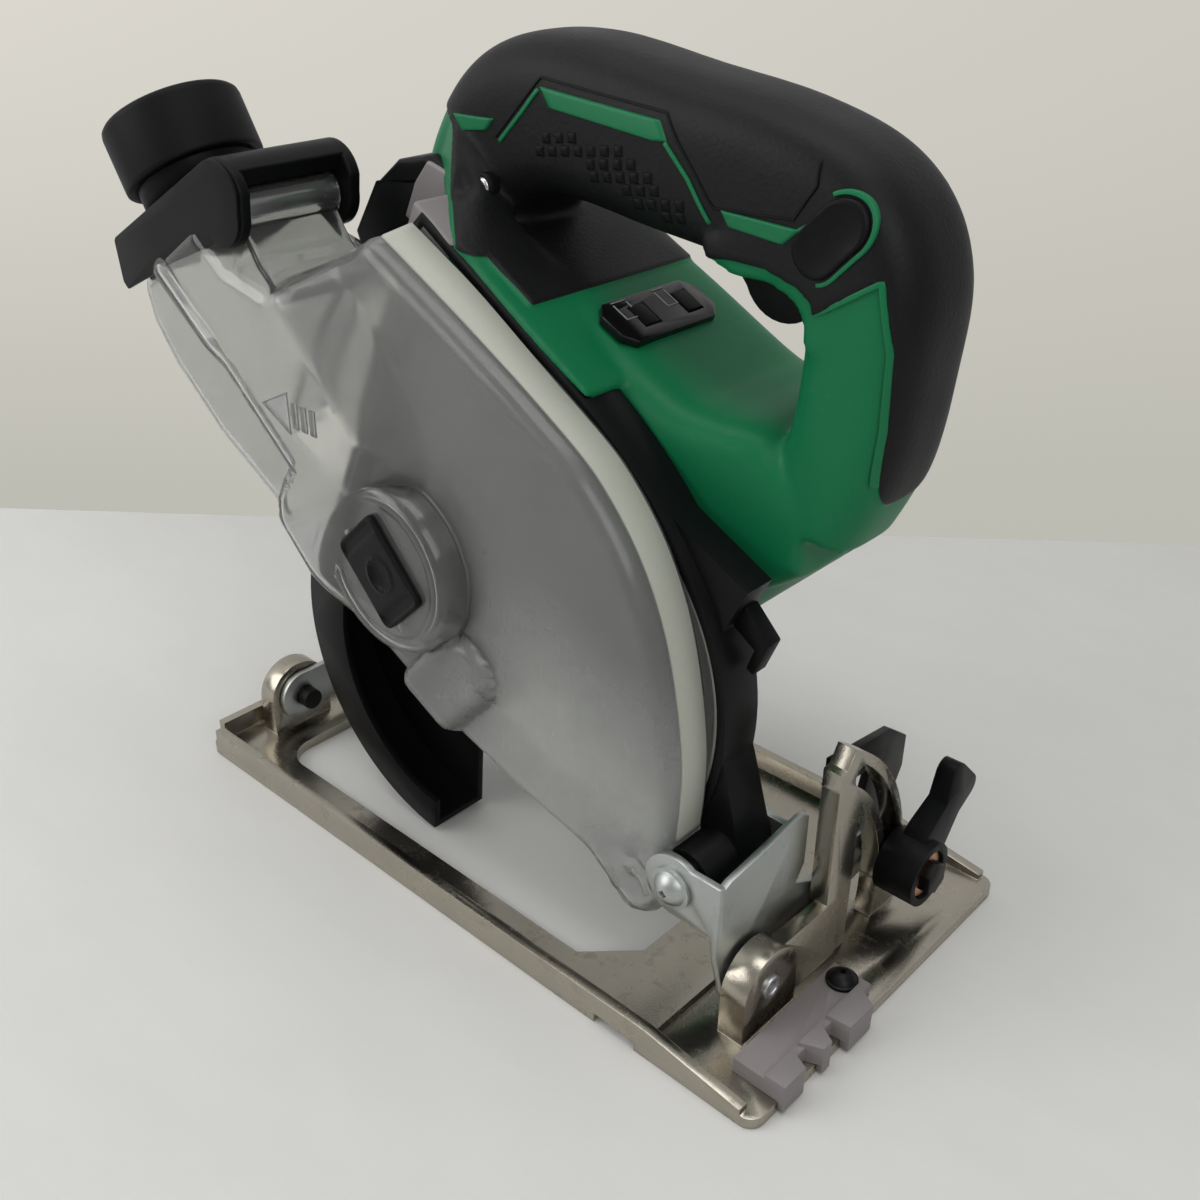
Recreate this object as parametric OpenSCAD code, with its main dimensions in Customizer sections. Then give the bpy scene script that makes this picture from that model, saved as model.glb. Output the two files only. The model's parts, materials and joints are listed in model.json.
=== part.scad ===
// Cordless dust-collecting circular saw, standing on its base with the head lifted.
// +X is the cutting direction, +Y is the motor side, +Z is up; the origin is the middle of the sole.
// Head pieces are drawn at full cutting depth and then lifted about the depth pivot.

/* [Base plate] */
// Length of the base plate
base_l = 264; // [256:1:290]
// Width of the base plate
base_w = 136; // [134:1:160]
// Thickness of the plate
plate_t = 4; // [3:0.5:6]
// Height of the side rims
rim_h = 11; // [9:0.5:14]
// Thickness of the side rims
rim_t = 3.5; // [2.5:0.5:5]
// Corner radius of the plate
plate_corner = 5; // [3:0.5:8]
// Window edge behind the middle of the base
window_back = 104; // [100:1:108]
// Window edge in front of the middle of the base
window_front = 66; // [62:1:68]
// Window edge on the blade side of the middle
window_right = 53; // [51:1:56]
// Window edge on the motor side of the middle
window_left = 14; // [10:1:18]
// Width of the rip guide channel
channel_w = 16; // [12:1:18]
// Depth of the rip guide channel
channel_d = 3.5; // [3:0.5:4]
// Middle of the rip guide channel in front of the base's middle
channel_x = 80; // [78:1:82]
// Thickness of metal over the rip guide channel
channel_roof = 3.5; // [2.5:0.5:5]

/* [Bevel] */
// Sideways place of the bevel axis
bevel_y = -35; // [-37:0.5:-33]
// Height of the bevel axis
bevel_z = 18; // [17:0.5:20]
// Radius of the bevel lugs
lug_r = 13; // [12:0.5:14]
// Thickness of the front bevel lug
lug_t = 9; // [8:0.5:11]
// Distance of the front bevel lug behind the plate's front edge
lug_set = 19.5; // [18:0.5:20]
// Thickness of the rear bevel lug
rear_lug_t = 8; // [7:0.5:10]
// Distance of the rear bevel lug from the plate's rear edge
rear_lug_set = 8; // [6:0.5:10]
// Diameter of the bevel pins
bevel_pin_d = 8; // [6:0.5:9]
// Largest bevel angle
bevel_max = 45; // [30:1:47]
// Radius of the quadrant slot about the bevel axis
quadrant_r = 67.5; // [65:0.5:70]
// Width of the quadrant's arched band
quadrant_band = 14; // [13:0.5:18]
// Thickness of the quadrant
quadrant_t = 6.5; // [5:0.5:8]
// Diameter of the bevel clamp bolt
clamp_d = 6; // [5:0.5:7]
// Angle of the clamp bolt above the level through the bevel axis
clamp_angle = 6; // [4:1:10]
// Length of the bevel lever from bolt to tip
lever_l = 32; // [28:1:40]
// Radius of the bevel lever's hub
lever_r = 11; // [9:0.5:12]
// Thickness of the bracket's sheet metal
sheet_t = 2.5; // [2:0.25:3]
// Thickness of the index tab
index_t = 2.8; // [2:0.2:3.4]

/* [Depth pivot] */
// Place of the depth pivot in front of the base's middle
pivot_x = 85; // [84:0.5:87]
// Height of the depth pivot
pivot_z = 49; // [48:0.5:51]
// Diameter of the depth pivot pin
pivot_d = 8; // [6:0.5:9]
// Radius of the bracket's ears
ear_r = 10.5; // [10:0.5:12]
// Outer face of the ear on the blade side
ear_y = -49; // [-50:0.5:-48.5]
// Outer face of the ear on the motor side
ear_left_y = -10.5; // [-12:0.5:-9]
// Angle by which the head is lifted from full depth
lift = 26.6; // [20:0.2:28]
// Height of the depth lock bolt above the sole at full depth
lock_z = 30; // [28:1:34]
// Place of the depth lock bolt at full depth
lock_x = -72; // [-75:1:-70]
// Diameter of the depth lock bolt
lock_d = 6; // [5:0.5:7]
// Width of the depth link
link_w = 17; // [15:1:19]
// Inner face of the depth link
link_y = 17.5; // [16:0.5:20]

/* [Spindle and gears] */
// Place of the spindle at full depth
spindle_x = -22; // [-26:0.5:-18]
// Height of the spindle above the sole at full depth
spindle_z = 17; // [16.5:0.5:20]
// Diameter of the spindle
spindle_d = 12; // [10:0.5:14]
// Diameter of the clamping flanges
flange_d = 30; // [26:1:34]
// Place of the motor axis at full depth
motor_x = 2; // [-2:0.5:5]
// Height of the motor axis at full depth
motor_z = 85; // [83:0.5:88]
// Gear module
gear_m = 1; // [0.9:0.05:1]
// Teeth of the spindle gear
spindle_teeth = 24; // [24:1:24]
// Teeth of the idler gear
idler_teeth = 56; // [56:1:56]
// Teeth of the motor pinion
pinion_teeth = 11; // [11:1:11]
// Face width of the gears
gear_w = 8; // [6:0.5:9]
// Diameter of the rotor shaft
rotor_d = 8; // [7:0.5:9]
// Outer radius of the motor housing
motor_r = 34; // [33:0.5:36]
// Wall of the motor housing
motor_wall = 4; // [3:0.5:5]

/* [Blade case] */
// Right edge of the blade case, where the cover meets it
case_right = -30; // [-32:0.5:-29]
// Left face of the blade case
case_left = -15; // [-16:0.5:-14.5]
// Wall of the blade case
case_wall = 3; // [2.5:0.25:4]
// Radius of the hood's front arc
hood_r = 76; // [75:0.5:78]
// Radius of the hood's top arc
hood_top_r = 150; // [148:1:156]
// Rear end of the hood's straight top
hood_rear = -95; // [-98:1:-92]
// Height of the hood's lower edge at full depth
hood_low = 15; // [14:0.5:17]

/* [Lower guard] */
// Outer radius of the lower guard
guard_r = 67; // [65:0.5:69]
// Wall of the lower guard
guard_wall = 2.5; // [2:0.25:3]
// Middle width of the guard's rim on the blade side
guard_rim = 16; // [10:1:18]
// How far the opening in the rim is off centre, which narrows the rim at the guard's leading end
rim_shift = 4.5; // [0:0.5:6]
// Right face of the guard
guard_right = -41.5; // [-42:0.5:-39]
// Angle that the guard covers
guard_span = 167; // [140:1:175]
// Leading end of the guard, from straight ahead
guard_end = 292; // [285:1:300]

/* [Dust cover] */
// Right face of the cover's flat panel
cover_right = -46; // [-46:0.25:-45.5]
// Right face of the dust duct
duct_right = -60; // [-64:0.5:-58]
// Left face of the dust duct
duct_left = -15.5; // [-16.5:0.5:-15.5]
// Wall of the clear cover
cover_wall = 2.2; // [1.8:0.2:2.6]
// Radius of the latch boss on the cover
boss_r = 27; // [24:0.5:29]
// Width of the opaque band round the hood
band_w = 11; // [9:0.5:12]
// Thickness of the opaque band
band_t = 1.4; // [1:0.2:2]
// Length of the cover latch
latch_l = 32; // [26:1:36]
// Width of the cover latch
latch_w = 23; // [18:1:25]

/* [Dust nozzle] */
// Place of the nozzle hinge at full depth
hinge_x = -144; // [-146:0.5:-142]
// Height of the nozzle hinge at full depth
hinge_z = 118; // [116:0.5:120]
// Radius of the nozzle hinge's knuckles
hinge_r = 11; // [10.5:0.5:11.5]
// Diameter of the hinge pin
hinge_d = 7; // [5:0.5:8]
// Lean of the nozzle above the level, towards the rear
nozzle_lean = 31; // [28:0.5:34]
// Length of the nozzle flap below the hinge
flap_l = 62; // [58:1:66]
// Thickness of the nozzle flap
flap_t = 10; // [8:0.5:12]
// Outer radius of the nozzle tube
tube_r = 20; // [18:0.5:20.5]
// Wall of the nozzle tube
tube_wall = 2.5; // [2:0.25:3]
// Length of the nozzle tube above the flap
tube_l = 27; // [24:1:32]
// Outer radius of the rubber cuff
cuff_r = 23.5; // [22.5:0.5:25]
// Length of the rubber cuff
cuff_l = 26; // [22:1:28]

/* [Handle and housing] */
// Middle plane of the handle
handle_y = 13; // [12:0.5:15]
// Half width of the handle's top bar
bar_half_y = 19; // [17:0.5:20]
// Right side of the body's deck
body_right = -15; // [-16:0.5:-14]
// Left side of the body's deck
body_left = 55; // [50:0.5:58]
// How far the right housing stands over the rear of the gear case
saddle_t = 2.5; // [2:0.25:4]
// Thickness of the soft grip
grip_t = 1.4; // [1:0.1:1.8]
// Length of the control panel
panel_l = 42; // [38:1:44]
// Width of the control panel
panel_w = 17; // [14:0.5:18]
// Travel of the trigger
trigger_travel = 6; // [4:0.5:7]
// Width of the trigger
trigger_w = 14; // [10:0.5:16]
// Travel of the lock-off button
lock_off_travel = 4; // [2:0.5:5]
// Width of the battery mount
battery_w = 46; // [42:1:50]

/* [Fits] */
// Radial clearance of running shafts
run = 0.06; // [0.04:0.01:0.09]
// Gap between neighbouring moving pieces
gap = 0.4; // [0.3:0.05:0.6]
// Gap between pieces that are fixed together
seat = 0.05; // [0.02:0.01:0.1]

/* [Hidden] */
$fn = 48;

black = [0.10, 0.10, 0.11];
green = [0.07, 0.43, 0.24];
nickel = [0.59, 0.56, 0.51];
zinc = [0.55, 0.59, 0.59];
grey = [0.63, 0.64, 0.59];
steel = [0.60, 0.60, 0.62];
copper = [0.55, 0.36, 0.25];
clear = [0.85, 0.88, 0.88, 0.4];

pivot = [pivot_x, pivot_z];
spindle_at = [spindle_x, spindle_z];
motor_at = [motor_x, motor_z];
hinge_at = [hinge_x, hinge_z];
lock_at = [lock_x, lock_z];
bevel_at = [bevel_y, bevel_z];
lug_front = base_l / 2 - lug_set;
lug_back = lug_front - lug_t;
quadrant_back = lug_back;
web_front = lug_back - 1.5;
web_back = web_front - sheet_t;
clamp_at = bevel_at + quadrant_r * [cos(clamp_angle), sin(clamp_angle)];
rear_lug_x = rear_lug_set - base_l / 2;
link_foot_x = rear_lug_x + rear_lug_t + 0.7;
ear_in = ear_y + sheet_t;
ear_left_in = ear_left_y - sheet_t;
lock_reach = norm(lock_at - pivot);
lock_turn = 180 + atan2(pivot_z - lock_z, pivot_x - lock_x);

// Points of a round arc in a flat outline
function arc(c, r, a0, a1, n = 12) =
  [for (i = [0 : n]) c + r * [cos(a0 + (a1 - a0) * i / n), sin(a0 + (a1 - a0) * i / n)]];

// Point on the line from one place to another, sideways by some distance
function beside(p, q, along, side) =
  let (d = (q - p) / norm(q - p)) p + d * along + [-d[1], d[0]] * side;

// The idler meshes with the spindle gear and with the pinion
spindle_pitch = gear_m * spindle_teeth / 2;
idler_pitch = gear_m * idler_teeth / 2;
pinion_pitch = gear_m * pinion_teeth / 2;
centre_gap = norm(motor_at - spindle_at);
low_reach = spindle_pitch + idler_pitch;
high_reach = idler_pitch + pinion_pitch;
idler_along = (low_reach ^ 2 - high_reach ^ 2 + centre_gap ^ 2) / (2 * centre_gap);
idler_side = sqrt(max(0, low_reach ^ 2 - idler_along ^ 2));
idler_at = beside(spindle_at, motor_at, idler_along, idler_side);
gear_back = -6;
gear_front = gear_back + gear_w;

// The hood runs from a front arc through a wide top arc into a straight top
hood_turn = 59;
hood_end_turn = 84;
hood_c = [-1, 54];
hood_top_c = hood_c - (hood_top_r - hood_r) * [cos(hood_turn), sin(hood_turn)];
hood_top_end = hood_top_c + hood_top_r * [cos(hood_end_turn), sin(hood_end_turn)];
hood_slope = tan(90 - hood_end_turn);
hood_rear_z = hood_top_end[1] + (hood_top_end[0] - hood_rear) * hood_slope;
hood_nose = hood_c[0] + hood_r;
hood_line = concat(
  arc(hood_c, hood_r, 0, hood_turn, 18),
  arc(hood_top_c, hood_top_r, hood_turn + 2, hood_end_turn, 12),
  [[hood_rear, hood_rear_z]]);

// The nozzle flap lies square to the nozzle's lean
lean_out = [-cos(nozzle_lean), sin(nozzle_lean)];
lean_down = [-sin(nozzle_lean), -cos(nozzle_lean)];
flap_back = 5;
knuckle_r = 8.6;
barrel_r = hinge_r + 1;
barrel_at = hinge_at + 3 * lean_out - 2 * lean_down;
duct_top = hinge_at + lean_out * flap_back;
duct_end = duct_top + lean_down * flap_l;
nozzle_y = (duct_right + duct_left) / 2;
nozzle_root = hinge_at + lean_out * (flap_back + flap_t) + lean_down * (flap_l - tube_r - 3);

// Moves flat outlines and upright pieces into place

// Extrudes an outline drawn in X and Z between two sideways planes
module side(y0, y1) translate([0, y1, 0]) rotate([90, 0, 0]) linear_extrude(y1 - y0) children();

// Extrudes an outline drawn in Y and Z between two planes across the base
module across(x0, x1) translate([x0, 0, 0]) rotate([90, 0, 90]) linear_extrude(x1 - x0) children();

// Round bar along Y
module bar_y(c, r, y0, y1) translate([c[0], y1, c[1]]) rotate([90, 0, 0]) cylinder(r = r, h = y1 - y0);

// Round bar along X
module bar_x(c, r, x0, x1) translate([x0, c[0], c[1]]) rotate([0, 90, 0]) cylinder(r = r, h = x1 - x0);

// Lifts the head about the depth pivot
module lifted() translate([pivot_x, 0, pivot_z]) rotate([0, lift, 0]) translate([-pivot_x, 0, -pivot_z])
  children();

// Stands a piece on the nozzle's axis, with Z along the nozzle
module on_nozzle() translate([nozzle_root[0], nozzle_y, nozzle_root[1]]) rotate([0, nozzle_lean - 90, 0])
  children();

// Sector between two angles, for cutting rings
module wedge(c, r, a0, a1) polygon(concat([c], arc(c, r, a0, a1, 24)));

// Part of a flat ring
module ring_part(c, r_in, r_out, a0, a1)
  intersection() {
    difference() {
      translate(c) circle(r_out, $fn = 120);
      translate(c) circle(r_in, $fn = 120);
    }
    wedge(c, r_out * 1.6, a0, a1);
  }

// Slot that follows an arc, with round ends
module arc_slot(c, r, w, a0, a1) {
  ring_part(c, r - w / 2, r + w / 2, a0, a1);
  for (a = [a0, a1]) translate(c + r * [cos(a), sin(a)]) circle(w / 2);
}

// Spur gear outline with tapered teeth and room to run
module gear_outline(teeth, turn = 0) {
  pitch_r = gear_m * teeth / 2;
  step = 360 / teeth;
  function tooth_point(r, share, i) = r * [cos(turn + step * (i + share)), sin(turn + step * (i + share))];
  polygon([for (i = [0 : teeth - 1])
    each [tooth_point(pitch_r - 1.2 * gear_m, -0.3, i), tooth_point(pitch_r + 0.75 * gear_m, -0.1, i),
      tooth_point(pitch_r + 0.75 * gear_m, 0.1, i), tooth_point(pitch_r - 1.2 * gear_m, 0.3, i)]]);
}

// Smooth line through stations that hold place and half sizes
function smooth(a, b, c, d, t) =
  0.5 * (2 * b + (c - a) * t + (2 * a - 5 * b + 4 * c - d) * t ^ 2 + (3 * b - a - 3 * c + d) * t ^ 3);
function stations(s, k) = concat(
  [for (i = [0 : len(s) - 2]) for (j = [0 : k - 1])
    smooth(s[max(i - 1, 0)], s[i], s[i + 1], s[min(i + 2, len(s) - 1)], j / k)],
  [s[len(s) - 1]]);
function bulged(v, e) = sign(v) * abs(v) ^ (2 / e);

// Loft through oval rings; a station is [x, z, half depth, half width, middle y]
module loft(s, grow = 0, k = 3, sides = 22, e = 2.7) {
  p = stations(s, k);
  m = len(p);
  flat = [for (q = p) [q[0], q[1]]];
  ways = [for (i = [0 : m - 1]) let (d = flat[min(i + 1, m - 1)] - flat[max(i - 1, 0)]) d / norm(d)];
  pts = [for (i = [0 : m - 1]) for (j = [0 : sides - 1])
    let (a = 360 * j / sides, n = [-ways[i][1], ways[i][0]],
      u = (p[i][2] + grow) * bulged(cos(a), e), v = (p[i][3] + grow) * bulged(sin(a), e))
    [p[i][0] + n[0] * u, p[i][4] + v, p[i][1] + n[1] * u]];
  walls = [for (i = [0 : m - 2]) for (j = [0 : sides - 1]) let (a = i * sides + j,
    b = i * sides + (j + 1) % sides) each [[a, b, b + sides], [a, b + sides, a + sides]]];
  first_cap = [for (j = [0 : sides - 1]) sides - 1 - j];
  last_cap = [for (j = [0 : sides - 1]) (m - 1) * sides + j];
  polyhedron(pts, concat(walls, [first_cap, last_cap]), convexity = 6);
}

// Base plate casting with its rims, lugs and quadrant

module plate_outline() {
  x = base_l / 2 - plate_corner;
  y = base_w / 2 - plate_corner;
  polygon(concat(arc([x, y], plate_corner, 0, 90, 6), arc([-x, y], plate_corner, 90, 180, 6),
    arc([-x, -y], plate_corner, 180, 270, 6), arc([x, -y], plate_corner, 270, 360, 6)));
}

module window_outline() {
  corner = 11;
  chamfer = 15;
  polygon(concat([[window_front - chamfer, -window_right], [window_front, -window_right + chamfer],
    [window_front, window_left]], [[-window_back, window_left]],
    arc([-window_back + corner, -window_right + corner], corner, 180, 270, 8)));
}

module rim(y0) {
  slope_start = base_l / 2 - 40;
  low_end = rim_h - 5;
  side(y0, y0 + rim_t) polygon([[-base_l / 2 + plate_corner, 0], [-base_l / 2 + plate_corner, rim_h],
    [slope_start, rim_h], [base_l / 2 - plate_corner, low_end], [base_l / 2 - plate_corner, 0]]);
}

module lug_outline() {
  translate(bevel_at) circle(lug_r);
  translate([bevel_y - lug_r, 0]) square([2 * lug_r, bevel_z]);
}

module quadrant_outline() {
  inner = quadrant_r - quadrant_band / 2;
  outer = quadrant_r + quadrant_band / 2;
  top_turn = clamp_angle + bevel_max + 9;
  top = bevel_at + outer * [cos(top_turn), sin(top_turn)];
  post_w = 13;
  difference() {
    union() {
      ring_part(bevel_at, inner, outer, -14, top_turn);
      translate([top[0] - post_w / 2, plate_t / 2]) square([post_w, top[1] - 6 - plate_t / 2]);
      translate([clamp_at[0] - quadrant_band / 2, 0]) square([quadrant_band, clamp_at[1] - 6]);
    }
    arc_slot(bevel_at, quadrant_r, clamp_d + 1, clamp_angle, clamp_angle + bevel_max);
    translate([bevel_y, -40]) square([200, 40]);
  }
}

module rib_outline() {
  top_turn = clamp_angle + bevel_max + 9;
  foot = bevel_y + (quadrant_r + quadrant_band / 2) * cos(top_turn);
  polygon([[bevel_y, 0], [bevel_y, bevel_z + lug_r - 3], [foot, bevel_z + 9], [foot, 0]]);
}

module base_plate() color(nickel) difference() {
  union() {
    linear_extrude(plate_t) plate_outline();
    rim(-base_w / 2);
    rim(base_w / 2 - rim_t);
    translate([-base_l / 2, -base_w / 2 + plate_corner, 0]) cube([rim_t, base_w - 2 * plate_corner, rim_h]);
    translate([channel_x - channel_w / 2 - 4, -base_w / 2, 0])
      cube([channel_w + 8, base_w / 2 + 20, channel_d + channel_roof]);
    across(lug_back, lug_front) lug_outline();
    across(rear_lug_x, rear_lug_x + rear_lug_t) lug_outline();
    across(lug_back + 2, lug_front - 2) rib_outline();
    across(quadrant_back, quadrant_back + quadrant_t) quadrant_outline();
  }
  translate([0, 0, -1]) linear_extrude(rim_h + 2) window_outline();
  translate([channel_x - channel_w / 2, -base_w / 2 - 1, -1])
    cube([channel_w, base_w / 2 + 30, channel_d + 1]);
  bar_x(bevel_at, bevel_pin_d / 2 + seat, lug_back - 1, lug_front + 1);
  bar_x(bevel_at, bevel_pin_d / 2 + seat, rear_lug_x - 1, rear_lug_x + rear_lug_t + 1);
  translate([guide_screw_at[0], guide_screw_at[1], -1]) cylinder(d = guide_screw_d + 2 * seat,
    h = plate_t + 2);
}

module front_bevel_pin() color(black) difference() {
  bar_x(bevel_at, bevel_pin_d / 2, web_back - 0.8, lug_front + 0.7);
  translate([lug_front - 2, bevel_y, bevel_z]) rotate([0, 90, 0]) cylinder(d = bevel_pin_d * 0.6, h = 5,
    $fn = 6);
}

module rear_bevel_pin() color(black) {
  bar_x(bevel_at, bevel_pin_d / 2, rear_lug_x - 0.5, link_foot_x + sheet_t + 5);
  translate([rear_lug_x - 4.5, bevel_y, bevel_z]) rotate([0, 90, 0]) cylinder(r = bevel_pin_d * 0.8,
    h = 4.4, $fn = 6);
}

// Sight guide at the front edge, with a straight-cut and a bevel-cut notch
guide_screw_d = 4;
guide_top = plate_t + 7;
guide_in = base_l / 2 - 3;
guide_tip = base_l / 2 + 2;
guide_depth = 13;
guide_w = 51;
guide_right = -57;
guide_screw_at = [guide_in - guide_depth / 2 - 0.5, guide_right + guide_w - 5];

// One finger of the sight guide, reaching over the plate's front edge
module guide_finger(from, to, reach, from_root, to_root) {
  translate([0, 0, plate_t + seat]) linear_extrude(guide_top - plate_t - seat)
    polygon([[guide_in - 2, from_root], [reach, from], [reach, to], [guide_in - 2, to_root]]);
  translate([0, 0, 1]) linear_extrude(guide_top - 1)
    polygon([[base_l / 2 + seat, from], [reach, from], [reach, to], [base_l / 2 + seat, to]]);
}

module sight_guide() color(grey) difference() {
  union() {
    translate([guide_in - guide_depth, guide_right, plate_t + seat])
      cube([guide_depth, guide_w, guide_top - plate_t - seat - 1.5]);
    guide_finger(guide_right, guide_right + 10, guide_tip, guide_right, guide_right + 13);
    guide_finger(guide_right + 19, guide_right + 23, guide_tip, guide_right + 16, guide_right + 27);
    guide_finger(guide_right + 31, guide_right + 43, guide_tip + 1, guide_right + 30, guide_right + 47);
  }
  translate([guide_screw_at[0], guide_screw_at[1], 0]) cylinder(d = guide_screw_d + 2 * seat, h = 30);
}

module sight_guide_screw() color(black) translate([guide_screw_at[0], guide_screw_at[1], 0]) {
  translate([0, 0, 0.5]) cylinder(d = guide_screw_d, h = guide_top);
  difference() {
    translate([0, 0, guide_top - 1.5 + seat]) rotate_extrude()
      polygon(concat([[0, 0]], [[5, 0], [5, 1]], arc([0, -1.2], 5, 28, 90, 8)));
    translate([0, 0, guide_top + 1]) cylinder(d = 2.2, h = 6, $fn = 4);
  }
}

// Bevel bracket of folded sheet, with the bolt, lever, tab and depth link that turn with it

module web_outline() {
  ear_low = pivot_z - ear_r - 2;
  ear_high = pivot_z + ear_r - 2;
  arm_end = clamp_at[0] + 9;
  difference() {
    union() {
      translate(bevel_at) circle(lug_r - 2.8);
      translate(clamp_at) circle(9);
      polygon([[bevel_y - lug_r + 2.8, bevel_z], [ear_y, ear_low - 4], [ear_y, ear_high - 2],
        [ear_y + 5, ear_high], [ear_left_y, ear_high + 4], [ear_left_y + 4, ear_high + 2],
        [ear_left_y + 4, ear_high - 16], [ear_left_y, ear_high - 22], [ear_left_y + 10, ear_low - 6],
        [clamp_at[0], clamp_at[1] + 9], [clamp_at[0], clamp_at[1] - 9], [bevel_y, bevel_z - lug_r + 4.5]]);
    }
    translate(bevel_at) circle(bevel_pin_d / 2 + run);
    translate(clamp_at) circle(clamp_d / 2 + seat);
  }
}

module ear_outline() difference() {
  union() {
    translate(pivot) circle(ear_r);
    translate([pivot_x, pivot_z - ear_r]) square([web_front - pivot_x, 2 * ear_r - 2]);
  }
  translate(pivot) circle(pivot_d / 2 + seat);
}

module front_bracket() color(zinc) {
  across(web_back, web_front) web_outline();
  side(ear_y, ear_in) ear_outline();
  side(ear_left_in, ear_left_y) ear_outline();
}

lever_front = quadrant_back + quadrant_t + gap + 14;
washer_r = 8;
washer_t = 1.4;
washer_sunk = 3;

module clamp_bolt() color(black) {
  bar_x(clamp_at, clamp_d / 2, web_back - index_t - 3, lever_front + 1);
  translate([web_back - index_t - 4, clamp_at[0], clamp_at[1]]) rotate([0, 90, 0])
    cylinder(r = clamp_d * 0.9, h = 4 - seat, $fn = 6);
  translate([lever_front - washer_sunk + gap + washer_t + seat, clamp_at[0], clamp_at[1]]) rotate([0, 90,
    0])
    cylinder(r = clamp_d * 0.95, h = 4, $fn = 6);
}

module clamp_washer() color(copper) difference() {
  bar_x(clamp_at, washer_r, lever_front - washer_sunk + gap, lever_front - washer_sunk + gap + washer_t);
  bar_x(clamp_at, clamp_d / 2 + seat, lever_front - 10, lever_front + 10);
}

module bevel_lever() color(black) {
  x0 = quadrant_back + quadrant_t + gap;
  tip = lever_l * [sin(45), cos(45)];
  difference() {
    union() {
      bar_x(clamp_at, lever_r, x0, x0 + 14);
      hull() {
        bar_x(clamp_at + 0.3 * tip, lever_r * 0.75, x0 + 3, x0 + 11, $fn = 32);
        bar_x(clamp_at + 0.75 * tip, lever_r * 0.5, x0 + 4, x0 + 11, $fn = 32);
      }
      hull() {
        bar_x(clamp_at + 0.7 * tip, lever_r * 0.5, x0 + 4, x0 + 11, $fn = 32);
        bar_x(clamp_at + tip + [-4.5, 4.5], lever_r * 0.4, x0 + 4, x0 + 10, $fn = 32);
        bar_x(clamp_at + tip + [4.5, -4.5], lever_r * 0.4, x0 + 4, x0 + 10, $fn = 32);
      }
    }
    bar_x(clamp_at, clamp_d / 2 + run, x0 - 1, x0 + 20);
    bar_x(clamp_at, washer_r + gap, x0 + 14 - washer_sunk, x0 + 20);
  }
}

module index_tab() color(black) across(web_back - index_t - seat, web_back - seat) difference() {
  polygon(concat(arc(clamp_at, 9, 180, 345, 12), [clamp_at + [20, 20], clamp_at + [20, 32],
    clamp_at + [9, 40],
    clamp_at + [-24, 45], clamp_at + [-24, 32], clamp_at + [-1, 30]]));
  translate(clamp_at) circle(clamp_d / 2 + seat);
}

module depth_link() color(zinc) {
  low_z = bevel_z - 6;
  bar_h = 16;
  link_out = lock_reach + link_w / 2;
  link_in = lock_reach - link_w / 2;
  link_top = lock_turn - lift - 3.4;
  slot_half = lock_d / 2 + 0.5;
  slot_top = pivot + lock_reach * [cos(lock_turn - lift), sin(lock_turn - lift)];
  slot_line = concat(arc(pivot, lock_reach + slot_half, lock_turn - lift, lock_turn, 16),
    arc(lock_at, slot_half, lock_turn + 15, lock_turn + 165, 8),
    arc(pivot, lock_reach - slot_half, lock_turn, lock_turn - lift, 16),
    arc(slot_top, slot_half, lock_turn - lift - 165, lock_turn - lift - 15, 8));
  across(link_foot_x, link_foot_x + sheet_t) difference() {
    union() {
      translate(bevel_at) circle(lug_r - 2.8);
      translate([bevel_y, low_z]) square([link_y + sheet_t - bevel_y, bar_h]);
    }
    translate(bevel_at) circle(bevel_pin_d / 2 + run);
  }
  side(link_y, link_y + sheet_t) difference() {
    polygon(concat(arc(pivot, link_out, link_top, 180 + asin((pivot_z - low_z - bar_h) / link_out), 20),
      [[link_foot_x, low_z + bar_h], [link_foot_x, low_z]],
      arc(pivot, link_in, 180 + asin((pivot_z - low_z) / link_in), link_top, 20)));
    polygon(slot_line);
  }
}

module depth_pivot_pin() color(steel) {
  bar_y(pivot, pivot_d / 2, ear_y - 0.5, ear_left_y + 1.5);
  bar_y(pivot, pivot_d * 0.85, ear_y - 1.4, ear_y - seat);
  translate([pivot_x, ear_y - 1.4, pivot_z]) rotate([90, 0, 0]) difference() {
    rotate_extrude() polygon(concat([[0, 0]], [[5.6, 0]], arc([0, -3], 6.35, 28, 90, 8)));
    translate([0, 0, 1.6]) cylinder(d = 3, h = 6, $fn = 4);
  }
  bar_y(pivot, pivot_d * 0.75, ear_left_y + seat, ear_left_y + 2);
}

// Blade case and gear case, one casting with the pivot arm and the depth lock arm

module case_outline() polygon(concat([[hood_nose, hood_low + 14]], hood_line,
  [[hood_rear - 3, hood_rear_z - 8], [hood_rear - 2, hood_low + 10], [hood_rear + 2, hood_low],
    [hood_nose - 15, hood_low]]));

module gear_cavity(grow) {
  translate(spindle_at) circle(spindle_pitch + 1.6 + grow);
  translate(idler_at) circle(idler_pitch + 1.8 + grow);
  translate(motor_at) circle(pinion_pitch + 3 + grow);
}

module gear_boss_outline(grow = 0) {
  translate(idler_at) circle(idler_pitch + 1.8 + case_wall + grow);
  translate(motor_at) circle(motor_r + grow);
}

module spindle_boss_outline() translate(spindle_at) circle(spindle_pitch + 1.6 + case_wall);

module front_block_outline(grow = 0) offset(delta = grow)
  polygon([[motor_x - 22, motor_z + 44], [motor_x + 46, motor_z + 44], [motor_x + 46, motor_z + 21],
    [motor_x + 30, motor_z + 10], [motor_x - 10, motor_z + 20]]);

boss_top = 14;
spindle_boss_r = 14.4;
guard_left = case_left - case_wall - gap;

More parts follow.
